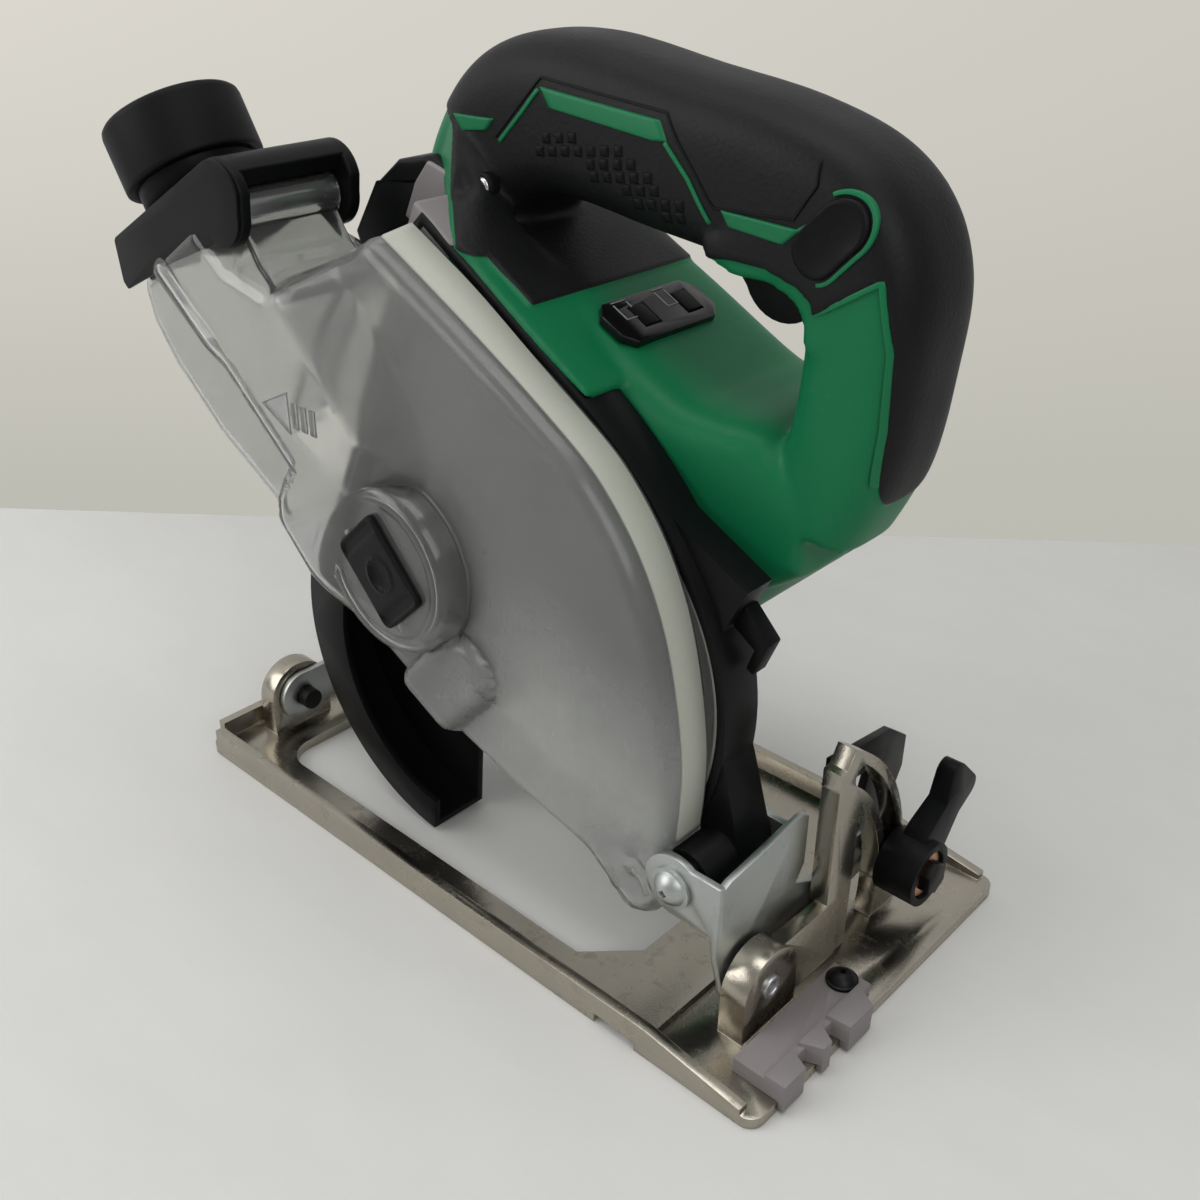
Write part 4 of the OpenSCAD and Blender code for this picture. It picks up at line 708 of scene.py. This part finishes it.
class SAW_OT_trims(bpy.types.Operator):
    """Lays inlays, thin lines, seam and dots on the handle, and sets its button, screw and panel outlines"""
    bl_idname = "saw.trims"
    bl_label = "Handle trims"

    def execute(self, context):
        ring = np.vstack([arc(LOCK_AT - LOCK_WAY, LOCK_R + 1.2, -60, LOCK_TILT, 8),
                          arc(LOCK_AT + LOCK_WAY, LOCK_R + 1.2, LOCK_TILT, 150, 24)])
        green = [inlay(p, 0.8) for p in INLAYS] + [ribbon(line, 1.2, 0.45) for line in (*THIN_LINES, ring)]
        green.append(ribbon(POST_EDGE, 1.6, 0.5, 0.4))
        dots = [pad(x + DOT_STEP[0] * i, z + DOT_STEP[1] * i, 3.1, 0.7) for x, z, n in DOT_ROWS for i in range(n)]
        dots.append(ribbon(SEAM, 0.7, 0.25))
        put("lock_button", *lock_face(), "black_plastic", "lock_off", replaces=("lock_off_button",))
        for name, r, y0, y1, kind in SCREW:
            put(name, *slab(arc(SCREW_AT, r, 0, 350, 36), y0, y1, 0.8, 0.5), kind, "head")
        lines = [bar for span in PRINT_Y for bar in print_frame(*PRINT_X, *span)]
        put("panel_lines", *joined(*lines), "pale_print", "head", "grey_plastic", smooth=False)
        for name, parts, kind in (("green_inlays", green, "green_plastic"), ("grip_dots", dots, "grip_rubber")):
            put(name, *joined(*parts, *(mirrored(*part) for part in parts)), kind, "head")
        return {"FINISHED"}


# Clear dust cover, nozzle, battery hood and latch. Outlines are x and z of the level head.

LEAN = np.radians(31.0)
LEAN_OUT = np.array([-np.cos(LEAN), np.sin(LEAN)])
LEAN_DOWN = np.array([-np.sin(LEAN), -np.cos(LEAN)])
HINGE_AT = np.array([-144.0, 118.0])
DUCT_TOP = HINGE_AT + 5 * LEAN_OUT
DUCT_END = DUCT_TOP + 69 * LEAN_DOWN
LATCH_AT = np.array([-44.0, 57.0])
PANEL_Y, DUCT_Y, EDGE_Y, BACK_Y = -46.0, -60.0, -30.4, -15.5
HOOD = smooth_line([(74.5, 54), (69.8, 65.5), (63.4, 78.6), (55.2, 91), (46.8, 101.8), (38.2, 111.2), (28.5, 119.4),
                    (18, 126), (6, 131.2), (-6, 134.4), (-28.8, 136.6), (-47.9, 137.6), (-67.7, 138.3),
                    (-96, 138.8)], 5)
DUCT = np.array([(-136, 104.5), DUCT_TOP + 14 * LEAN_DOWN, DUCT_END, (-174, 50), (-158, 42.5), (-130, 36), (-92, 34)])
COVER = np.vstack([[(56, 28), (70, 25.5), (79, 25), (83, 29), (83.5, 36), (80, 45)], HOOD, [(-101, 130), (-119, 109)],
                   DUCT, [(-68, 26), (-52, 17.5), (-3, 17), (26, 21.5)]])
DUCT_FACE = [(-200, 86), (-164.8, 78.9), (-135.2, 73.4), (-89, 61.9), (-89.8, 44.7), (-80, 20), (60, 20), (60, 200),
             (-200, 200)]
RIDGE_AT, RIDGE_OUT = np.array([-114.2, 110.3]), np.array([0.357, 0.934])
LOBE = np.array([(-15.0, 18.0), (-8.0, 42.0)])
EYE = np.array([75.0, 34.0])
DUCT_LOW, DUCT_STEP, RIB_HIGH, RIB_HALF = 9.5, 4.3, 2.2, 3.4
BOSS_HIGH, BOSS_R, BOSS_SINK, SINK_R = 11, 27.5, 0.9, 24
LOBE_HIGH, LOBE_R, EYE_HIGH, EYE_R, EYE_HALF = 5.5, 12, 1.2, 6.5, 1.8
DUCT_HAZE, PANEL_HAZE, BOSS_CLEARER = 0.14, 0.36, 0.24
BAND = [(1.0, -42), (2.3, -42), (2.6, -41.7), (2.6, -31.7), (2.3, -31.4), (1.0, -31.4)]
BAND_TILT, TILT_RUN = 2.2, (25, 75)
COVER_WALL, BOSS_REACH, WEB_TURN, DUCT_MID, MOUTH = 0.0020, 30.0, (163.6, 182.4), (-147.0, 78.0), (16, 66)
KNUCKLE = np.vstack([[(-114, 106.5), (-120, 107.6), (-128, 110)], arc(HINGE_AT, 7.1, -25, 256, 40)])
KNUCKLE_Y = (-55.5, -20.5)
BARREL = HINGE_AT + 3 * LEAN_OUT - 2 * LEAN_DOWN
NOZZLE_ROOT, NOZZLE_Y = HINGE_AT + 15 * LEAN_OUT + 39 * LEAN_DOWN, -37.75
NECK = [(20, -1), (20, 26.5), (17.5, 26.5), (17.5, -1)]
CUFF = [(20.1, 10.5), (22.9, 10.5), (23.4, 11), (23.5, 12), (23.5, 29.6), (23.2, 31), (22.4, 31.8), (21, 32),
        (18.4, 32), (17.7, 31.6), (17.5, 31), (17.5, 27), (20.1, 27)]
FLAP_Y, EAR_IN, SKIRT_Y, BAR_Y = (-59.9, -15.5), (-56, -20), (-61, -59.95), (-57, -19)
MOUNT = [(-104, 135), (-119, 135.5), (-134.5, 126.2), (-129, 138), (-118, 147), (-104, 150)]
MOUNT_PLATE = [(-118, 125.5), (-118, 138), (-115.5, 147), (-104, 149.5), (-97, 123.5)]
MOUNT_FOOT = [(-99.5, 140), (-81, 140.5), (-81, 146.2), (-99.5, 148)]
MOUNT_Y, PLATE_Y, FOOT_Y = (-10, 36), (-11.4, -9.4), (-29.8, -13)
LATCH_HALF, LATCH_TURN, LATCH_CORNER, LATCH_Y = np.array([16.0, 11.5]), np.radians(20), 2.5, -60.4
DISH_AT, DISH_R, DISH_DEEP, DISH_LIP = (1, 1), 5.2, 1.6, 0.5
FLOW, FLOW_AT = np.array([-0.894, -0.447]), np.array([-85.0, 84.0])


def rounded_step(depth, r):
    """A quarter ellipse: 0 at the outline, 1 once r inside it."""
    return np.sqrt(1 - (1 - np.clip(depth / r, 0, 1)) ** 2)


def softly_most(a, b, r):
    """The larger of two heights with a fillet of about r where they meet."""
    h = np.clip(0.5 + (a - b) / (2 * r), 0, 1)
    return b + (a - b) * h + r * h * (1 - h)


def past_ridge(x, z):
    """Distance beyond the ridge between the duct and the panel."""
    return (x - RIDGE_AT[0]) * RIDGE_OUT[0] + (z - RIDGE_AT[1]) * RIDGE_OUT[1]


def cover_height(x, z):
    """Y of the cover's outer face: flat panel; duct in two levels parted by a step and a rib, its far side sloping
    down to the panel; ringed boss round the latch; all falling away in a round edge at the outline."""
    rim = polygon_depth(x, z, COVER)
    face = polygon_depth(x, z, DUCT_FACE)
    rib = RIB_HIGH * eased(RIB_HALF - np.abs(face), 0, 1.4) * eased(-x, 128, 136)
    level = DUCT_LOW + DUCT_STEP * eased(face, -3, 0) + rib
    duct = level * (1 - eased(past_ridge(x, z), 0, 20)) * eased(-x, 44, 70) * rounded_step(rim, 7)
    reach = np.hypot(x - LATCH_AT[0], z - LATCH_AT[1])
    boss = BOSS_HIGH * rounded_step(BOSS_R - reach, 2.5) - BOSS_SINK * eased(SINK_R - reach, 0, 1.2)
    way = LOBE[1] - LOBE[0]
    share = np.clip(((x - LOBE[0, 0]) * way[0] + (z - LOBE[0, 1]) * way[1]) / (way @ way), 0, 1)
    off = np.hypot(x - LOBE[0, 0] - share * way[0], z - LOBE[0, 1] - share * way[1])
    lobe = LOBE_HIGH * rounded_step(LOBE_R - off, 4)
    eye = np.abs(np.hypot(x - EYE[0], z - EYE[1]) - EYE_R)
    high = softly_most(softly_most(duct, boss, 1.5), lobe, 1.5) + EYE_HIGH * eased(EYE_HALF - eye, 0, 1)
    return PANEL_Y - high + 3.0 * (1 - rounded_step(rim, 3.0))


class SAW_OT_cover(bpy.types.Operator):
    """Moulds the clear dust cover with the knuckle of its hinge, its pale seal and its flow arrow"""
    bl_idname = "saw.cover"
    bl_label = "Dust cover"

    def execute(self, context):
        web = curtain(arc(PIVOT, COVER_SWING, *WEB_TURN, 40), EDGE_Y, BACK_Y, 6), grid_faces(6, 40)
        cover = put("clear_cover", *joined(self.front(), self.back(), web), "clear_plastic", "cover",
                    replaces=("dust_cover",))
        sheet = curtain(KNUCKLE, *KNUCKLE_Y, 18)
        knuckle = put("cover_knuckle", sheet, grid_faces(*sheet.shape[:2]), "clear_plastic", "cover")
        for obj, side in ((cover, -1.0), (knuckle, 1.0)):
            wall = obj.modifiers.new("wall", "SOLIDIFY")
            wall.thickness, wall.offset = COVER_WALL, side
        put("cover_seal", *self.seal(), "cover_band", "cover", "grey_plastic", replaces=("cover_band",))
        marks = [slab(p, DUCT_Y - 0.5, DUCT_Y + 0.5, 0.3, 0.6) for p in self.arrow()]
        arrow = put("flow_arrow", *joined(*marks), "clear_plastic", "cover")
        for obj, more in ((cover, 0), (knuckle, 0), (arrow, 0.12)):
            self.hazed(obj, more)
        return {"FINISHED"}

    @staticmethod
    def front():
        """Rays from the latch to the outline, each point at the cover's height, and a skirt, which is open at the
        duct's mouth and reaches the duct's far wall beyond the web."""
        rim = walked(COVER, 1.9)
        out = rim - LATCH_AT
        size = np.linalg.norm(out, axis=1)
        t = np.concatenate([np.linspace(0, 0.9, 40), 1 - 0.1 * np.cos(np.linspace(0.1, np.pi / 2, 12))])
        reach = np.vstack([np.linspace(0, BOSS_REACH, 34, endpoint=False)[:, None] + 0 * size,
                           BOSS_REACH + t[:, None] * (size - BOSS_REACH)])
        x, z = LATCH_AT[0] + reach * out[:, 0] / size, LATCH_AT[1] + reach * out[:, 1] / size
        y = cover_height(x, z)
        beyond = eased(np.hypot(*(rim - PIVOT).T), COVER_SWING - 1.5, COVER_SWING + 0.5)
        end = EDGE_Y + (BACK_Y - EDGE_Y) * beyond
        k = np.linspace(0, 1, 9)[1:, None]
        x = np.vstack([x, 0 * k + rim[:, 0]])
        z = np.vstack([z, 0 * k + rim[:, 1]])
        y = np.vstack([y, y[-1] + k * (end - y[-1])])
        quads = grid_faces(*x.shape, close_cols=True)
        along, off = (rim - DUCT_TOP) @ LEAN_DOWN, (rim - DUCT_TOP) @ LEAN_OUT
        mouth = (np.abs(off) < 0.5) & (along > MOUTH[0]) & (along < MOUTH[1])
        row, column = np.divmod(quads[:, 0], x.shape[1])
        return lifted(x, y, z), quads[~((row > len(reach)) & mouth[column])]

    @staticmethod
    def back():
        """The duct's far wall: rings from its middle to its side-view outline, rounded at the edge."""
        turn = np.vstack([arc(PIVOT, COVER_SWING, *WEB_TURN, 12), DUCT[4::-1]])
        x, z = fanned(walked(turn, 2.0), DUCT_MID, np.linspace(0, 1, 26)[:, None])
        y = BACK_Y - 2 * (1 - rounded_step(polygon_depth(x, z, turn), 2))
        return lifted(x, y, z), grid_faces(*x.shape, close_cols=True)[:, ::-1]

    @staticmethod
    def seal():
        """The band's section carried along the hood's edge, tilting outwards towards the rear."""
        mid, way = stepped(HOOD, 2.0)
        out, level = np.array(BAND).T
        out = out + BAND_TILT * eased(-mid[:, :1], *TILT_RUN) * (level - level.min()) / np.ptp(level)
        return capped(lifted(mid[:, :1] + way[:, 1:] * out, level + 0 * mid[:, :1], mid[:, 1:] - way[:, :1] * out))

    @staticmethod
    def arrow():
        """Outlines of three bars and an arrow head along the duct."""
        across = np.array([-FLOW[1], FLOW[0]])
        corners = ((-1.4, -4.2), (1.4, -4.2), (1.4, 4.2), (-1.4, 4.2))
        shapes = [[(4.4 * i + u, v) for u, v in corners] for i in range(3)] + [((12, -7), (26, 0), (12, 7))]
        return [[FLOW_AT + u * FLOW + v * across for u, v in shape] for shape in shapes]

    @staticmethod
    def hazed(obj, more):
        """Keeps the share of the grey veil, real frost whose grey is painted shade of the inside behind it: little on
        the duct, more on the panel beyond the ridge, less on the boss and about the front eye; and how pale it is,
        low down at the front."""
        x, _, z = levelled(coordinates(obj.data))
        panel = np.maximum(eased(past_ridge(x, z), -1, 3) * eased(x, -112, -104), eased(x, -74, -40))
        boss = eased(30 - np.hypot(x - LATCH_AT[0], z - LATCH_AT[1]), -4, 4)
        eye = eased(np.hypot(x - EYE[0], z - EYE[1]), 10, 26)
        # painted shade: share of the grey veil, frost that also carries the shade of the inside
        frost_and_shade = (PANEL_HAZE - BOSS_CLEARER * boss) * panel * (0.25 + 0.75 * eye)
        attribute(obj.data, "haze", more + DUCT_HAZE + frost_and_shade)
        attribute(obj.data, "pale", eased(108 - z, 0, 50) * eased(x, -25, 30))


class SAW_OT_nozzle(bpy.types.Operator):
    """Builds the nozzle flap with its ears, skirt, bar and neck, and the cuff"""
    bl_idname = "saw.nozzle"
    bl_label = "Nozzle"

    def execute(self, context):
        at = lambda down, out: DUCT_TOP + down * LEAN_DOWN + out * LEAN_OUT
        plate = [at(1, 0.4), at(69, 0.4), at(69.5, 10.5), at(40, 10.5), at(10, 9.5)]
        ear = np.vstack([arc(HINGE_AT, 11, -80, 30, 14), arc(BARREL, 12, 40, 150, 14), [at(13, 10), at(15, 0.4)]])
        skirt = np.vstack([arc(HINGE_AT, 10.6, -80, 30, 14), arc(BARREL, 11.6, 40, 140, 14),
                           [at(64.5, 13.4), at(66, 12.8), at(71.8, 0.6), at(71, -2.4), at(36, -6.8)]])
        bar = np.vstack([arc(BARREL, 12, 74, 236, 24), arc(HINGE_AT, 9.3, 236, 78, 24)])
        flap = joined(slab(plate, *FLAP_Y, 1.2), slab(ear, FLAP_Y[0], EAR_IN[0], 1.0, 0.8),
                      slab(ear, EAR_IN[1], FLAP_Y[1], 1.2, 0.8), slab(skirt, *SKIRT_Y, 0.4, 0.8, at(9, 2)),
                      prism(bar, *BAR_Y), lathe(NECK, NOZZLE_ROOT, NOZZLE_Y, LEAN_OUT))
        put("flap_body", *flap, "black_plastic", "nozzle", replaces=("nozzle_flap",))
        put("cuff", *lathe(CUFF, NOZZLE_ROOT, NOZZLE_Y, LEAN_OUT), "grip_rubber", "nozzle",
            replaces=("nozzle_cuff",))
        return {"FINISHED"}


class SAW_OT_mount(bpy.types.Operator):
    """Sets the hood over the battery mount, and the grey plate and foot beside it"""
    bl_idname = "saw.mount"
    bl_label = "Battery hood"

    def execute(self, context):
        put("mount_hood", *slab(MOUNT, *MOUNT_Y, 2.0), "black_plastic", "head")
        put("mount_plate", *joined(slab(MOUNT_PLATE, *PLATE_Y, 0.8), slab(MOUNT_FOOT, *FOOT_Y, 1.2)),
            "grey_plastic", "head")
        return {"FINISHED"}


class SAW_OT_latch(bpy.types.Operator):
    """Moulds the cover's latch: a plate with round corners, a dish in its middle and a trough at each end"""
    bl_idname = "saw.latch"
    bl_label = "Latch"

    def execute(self, context):
        half = LATCH_HALF - LATCH_CORNER
        signs = np.array([(1, 1), (-1, 1), (-1, -1), (1, -1)])
        p = walked(np.vstack([arc(sign * half, LATCH_CORNER, 90 * i, 90 * i + 90, 7)
                              for i, sign in enumerate(signs)]), 0.9)
        scale = np.concatenate([np.linspace(0, 0.9, 22), [0.94, 0.97, 0.99, 1, 1, 0.98]])[:, None]
        depth = np.concatenate([np.zeros(22), [0.05, 0.2, 0.55, 1.1, 6.5, 6.8]])[:, None]
        u, v = scale * p[:, 0], scale * p[:, 1]
        off = np.hypot(u - DISH_AT[0], v - DISH_AT[1])
        dish = DISH_DEEP * np.sqrt(np.clip(1 - (off / DISH_R) ** 2, 0, 1)) - DISH_LIP * eased(7 - off, 0, 2)
        trough = 0.9 * eased(np.abs(u), 9.5, 12) * (scale < 0.93)
        x = LATCH_AT[0] + u * np.cos(LATCH_TURN) + v * np.sin(LATCH_TURN)
        z = LATCH_AT[1] - u * np.sin(LATCH_TURN) + v * np.cos(LATCH_TURN)
        put("latch_plate", lifted(x, LATCH_Y + depth + dish + trough, z), grid_faces(*x.shape, close_cols=True),
            "black_plastic", "latch", replaces=("cover_latch",))
        return {"FINISHED"}


# Hard parts that stay as the frame has them.

PLAIN = {
    "nickel_casting": "base_plate",
    "zinc_sheet": "front_bracket depth_link depth_pivot_pin",
    "steel": "front_bevel_pin idler_gear idler_pin spindle outer_flange bearings latch_pin nozzle_pin housing_screws"
             " depth_lock_bolt",
    "black_metal": "rear_bevel_pin sight_guide_screw clamp_bolt index_tab spindle_bolt",
    "black_plastic": "bevel_lever motor_cap lower_guard trigger wrench_clip battery_mount depth_lock_lever",
    "green_plastic": "motor_housing",
    "grey_plastic": "sight_guide",
    "grip_rubber": "mode_key lamp_key",
    "glossy_black": "control_panel",
    "case_black": "gear_case",
    "liner": "chamber_liner",
    "motor_core": "stator rotor",
    "copper": "clamp_washer battery_terminals",
}
SHARP, LEVEL, WELD = np.radians(38), np.radians(0.6), 0.00001


def smoothing():
    """Geometry nodes that shade faces smooth and keep sharp edges."""
    group = bpy.data.node_groups.new("smooth_by_angle", "GeometryNodeTree")
    group.interface.new_socket("Geometry", in_out="INPUT", socket_type="NodeSocketGeometry")
    group.interface.new_socket("Geometry", in_out="OUTPUT", socket_type="NodeSocketGeometry")
    add, link = group.nodes.new, group.links.new
    start, end = add("NodeGroupInput"), add("NodeGroupOutput")
    faces, edges = add("GeometryNodeSetShadeSmooth"), add("GeometryNodeSetShadeSmooth")
    angle, sharp = add("GeometryNodeInputMeshEdgeAngle"), add("FunctionNodeCompare")
    faces.domain, edges.domain, sharp.operation = "FACE", "EDGE", "GREATER_THAN"
    sharp.inputs[1].default_value = SHARP
    edges.inputs["Shade Smooth"].default_value = False
    link(start.outputs[0], faces.inputs["Geometry"])
    link(faces.outputs[0], edges.inputs["Geometry"])
    link(angle.outputs["Unsigned Angle"], sharp.inputs[0])
    link(sharp.outputs[0], edges.inputs["Selection"])
    link(edges.outputs[0], end.inputs[0])
    return group


class SAW_OT_hard_parts(bpy.types.Operator):
    """Gives the frame's own parts their finishes and rounded edges"""
    bl_idname = "saw.hard_parts"
    bl_label = "Hard parts"

    def execute(self, context):
        group = smoothing()
        for name, kind in [(name, kind) for kind, names in PLAIN.items() for name in names.split()]:
            obj = frame["nodes"][name]
            obj.data.materials.clear()
            obj.data.materials.append(finish(kind))
            obj.modifiers.new("weld", "WELD").merge_threshold = WELD
            flat = obj.modifiers.new("flat", "DECIMATE")
            flat.decimate_type, flat.angle_limit = "DISSOLVE", LEVEL
            edge = obj.modifiers.new("edge", "BEVEL")
            edge.width, edge.segments = context.scene.saw_sizes.edge, 2
            edge.limit_method, edge.angle_limit = "ANGLE", SHARP
            obj.modifiers.new("smooth", "NODES").node_group = group
        return {"FINISHED"}


# Stage.

LENS_PIXELS, FRAME_PIXELS, SENSOR = 1340.4, 1200, 36.0
TURN, RISE, ROLL = np.radians(42.494), np.radians(29.575), np.radians(0.471)
CAMERA_AT = np.array([268.0, -280.5, 310.5])
WALL_FOOT = (0, 508), (1200, 545)
STAGE_LONG, STAGE_DEEP = (-2600, 3200), (-2600, 2600)
LIGHTS = (("top_light", (-150, 150, 1300), 1.1, 10.5), ("side_light", (-700, -900, 700), 0.9, 7.0),
          ("front_light", (900, -500, 900), 0.8, 4.5))
LIGHT_AIM = np.array([0, 0, 90.0])


class SAW_OT_stage(bpy.types.Operator):
    """Sets the camera, the pale floor and wall, and the soft lights"""
    bl_idname = "saw.stage"
    bl_label = "Stage"

    def execute(self, context):
        scene = context.scene
        self.backdrop(scene, self.camera(scene))
        self.world(scene)
        for light in LIGHTS:
            self.lamp(scene, *light)
        scene.view_settings.view_transform = "Standard"
        return {"FINISHED"}

    @staticmethod
    def camera(scene):
        """Sets the camera and gives its axes and place as a matrix, lengths in metres."""
        back = np.array([np.sin(TURN) * np.cos(RISE), -np.cos(TURN) * np.cos(RISE), np.sin(RISE)])
        right = np.array([np.cos(TURN), np.sin(TURN), 0])
        up = np.cross(back, right)
        axes = np.eye(4)
        axes[:3, 0] = right * np.cos(ROLL) + up * np.sin(ROLL)
        axes[:3, 1] = up * np.cos(ROLL) - right * np.sin(ROLL)
        axes[:3, 2] = back
        axes[:3, 3] = CAMERA_AT * MM
        lens = bpy.data.cameras.new("camera")
        lens.sensor_width, lens.lens, lens.clip_start = SENSOR, SENSOR * LENS_PIXELS / FRAME_PIXELS, 0.02
        scene.camera = bpy.data.objects.new("camera", lens)
        scene.camera.matrix_world = Matrix(axes.tolist())
        scene.collection.objects.link(scene.camera)
        return axes

    @staticmethod
    def backdrop(scene, axes):
        """A floor, and a wall along the line where the photo's floor ends."""
        def floor_at(pixel):
            """The floor point behind a pixel of the frame."""
            column, row = np.array(pixel) - FRAME_PIXELS / 2
            ray = axes[:3, :3] @ np.array([column / LENS_PIXELS, -row / LENS_PIXELS, -1])
            return CAMERA_AT - ray * CAMERA_AT[2] / ray[2]

        left, right = map(floor_at, WALL_FOOT)
        along = (right - left) / np.linalg.norm(right - left)
        away = np.array([-along[1], along[0], 0])
        away *= np.sign(away @ -axes[:3, 2])
        u, v = np.meshgrid(STAGE_LONG, STAGE_DEEP, indexing="ij")
        ground = left + u[..., None] * along + v[..., None] * away
        high = left + u[..., None] * along + np.clip(v, 0, None)[..., None] * np.array([0, 0, 1])
        looks = SAW_OT_stage.floor_look(scene.saw_colours.floor), SAW_OT_stage.wall_look(along)
        for name, points, look in zip(("floor", "wall"), (ground, high[::-1]), looks):
            obj = bpy.data.objects.new(name, meshed(name, points, grid_faces(2, 2)))
            obj.data.materials.append(look.material)
            scene.collection.objects.link(obj)

    @staticmethod
    def floor_look(c):
        """A pale sheet, slightly streaked."""
        f = Finish("floor")
        tone = f.noise(60, 5.0, 0.6, (1, 2.5, 1))
        f.set("Base Color", f.mix(tone, colour(c, 0.95), colour(c, 1.04)))
        f.set("Roughness", tone * 0.2 + 0.45)
        return f

    @staticmethod
    def wall_look(along):
        """A wall that shows its own tone to the camera, with painted shade: darker low down and towards the right. It
        can be seen through from behind."""
        f = Finish("wall", Base_Color=(0.8, 0.8, 0.8, 1), Roughness=0.7)
        ray = f.node("ShaderNodeLightPath").outputs
        seen = Value(f.tree, ray["Is Camera Ray"]).most(Value(f.tree, ray["Is Transmission Ray"]))
        x, y, z = (Value(f.tree, at) for at in f.node("ShaderNodeSeparateXYZ", {}, {"Vector": f.place}).outputs)
        # painted shade: the wall darkens towards the right and low down, as the light falls off
        tone = f.mix((x * along[0] + y * along[1]).ease(-0.7, 0.7), (0.76, 0.73, 0.665, 1), (0.56, 0.545, 0.495, 1))
        tone = f.mix(z.ease(-0.05, 0.30), (0.50, 0.495, 0.44, 1), tone)
        glow = f.node("ShaderNodeEmission", {}, {"Color": tone, "Strength": 1.0}).outputs[0]
        behind = f.node("ShaderNodeNewGeometry").outputs["Backfacing"]
        clear = f.node("ShaderNodeBsdfTransparent").outputs[0]
        both = f.node("ShaderNodeMixShader", {}, {0: seen, 1: f.shader.outputs[0], 2: glow}).outputs[0]
        both = f.node("ShaderNodeMixShader", {}, {0: behind, 1: both, 2: clear}).outputs[0]
        f.feed(f.end.inputs["Surface"], both)
        return f

    @staticmethod
    def world(scene):
        """White light from all round, behind which the camera sees a warm grey."""
        scene.world = bpy.data.worlds.new("world")
        scene.world.use_nodes = True
        tree = scene.world.node_tree
        light, seen = tree.nodes["Background"], tree.nodes.new("ShaderNodeBackground")
        light.inputs["Color"].default_value, light.inputs["Strength"].default_value = (1.0, 1.0, 1.0, 1), 0.36
        seen.inputs["Color"].default_value, seen.inputs["Strength"].default_value = (0.66, 0.645, 0.60, 1), 1.0
        path, both = tree.nodes.new("ShaderNodeLightPath"), tree.nodes.new("ShaderNodeMixShader")
        ends = path.outputs["Is Camera Ray"], light.outputs[0], seen.outputs[0]
        for socket, end in zip(both.inputs, ends):
            tree.links.new(end, socket)
        tree.links.new(both.outputs[0], tree.nodes["World Output"].inputs["Surface"])

    @staticmethod
    def lamp(scene, name, at, size, power):
        """A square area light that faces the object."""
        light = bpy.data.lights.new(name, "AREA")
        light.energy, light.size = power, size
        obj = bpy.data.objects.new(name, light)
        way = np.array(at, float) - LIGHT_AIM
        way /= np.linalg.norm(way)
        side = np.cross([0, 1, 0.1], way)
        side /= np.linalg.norm(side)
        m = np.eye(4)
        m[:3, 0], m[:3, 1], m[:3, 2], m[:3, 3] = side, np.cross(way, side), way, np.array(at) * MM
        obj.matrix_world = Matrix(m.tolist())
        scene.collection.objects.link(obj)


class SAW_PT_panel(bpy.types.Panel):
    """Lists the sizes, the colours and the steps"""
    bl_idname = "SAW_PT_panel"
    bl_label = "Dust-collecting saw"
    bl_space_type = "VIEW_3D"
    bl_region_type = "UI"
    bl_category = "Saw"

    def draw(self, context):
        for group in (context.scene.saw_sizes, context.scene.saw_colours):
            for name in group.__annotations__:
                self.layout.prop(group, name)
        for step in STEPS:
            self.layout.operator(step.bl_idname)


STEPS = (SAW_OT_finishes, SAW_OT_stage, SAW_OT_hard_parts, SAW_OT_shell, SAW_OT_trims, SAW_OT_cover,
         SAW_OT_nozzle, SAW_OT_mount, SAW_OT_latch)
CLASSES = (SawSizes, SawColours, *STEPS, SAW_PT_panel)


def register():
    for c in CLASSES:
        bpy.utils.register_class(c)
    bpy.types.Scene.saw_sizes = bpy.props.PointerProperty(type=SawSizes)
    bpy.types.Scene.saw_colours = bpy.props.PointerProperty(type=SawColours)


def unregister():
    del bpy.types.Scene.saw_colours, bpy.types.Scene.saw_sizes
    for c in reversed(CLASSES):
        bpy.utils.unregister_class(c)


def main():
    register()
    for step in STEPS:
        group, name = step.bl_idname.split(".")
        getattr(getattr(bpy.ops, group), name)()


if __name__ == "__main__":
    main()
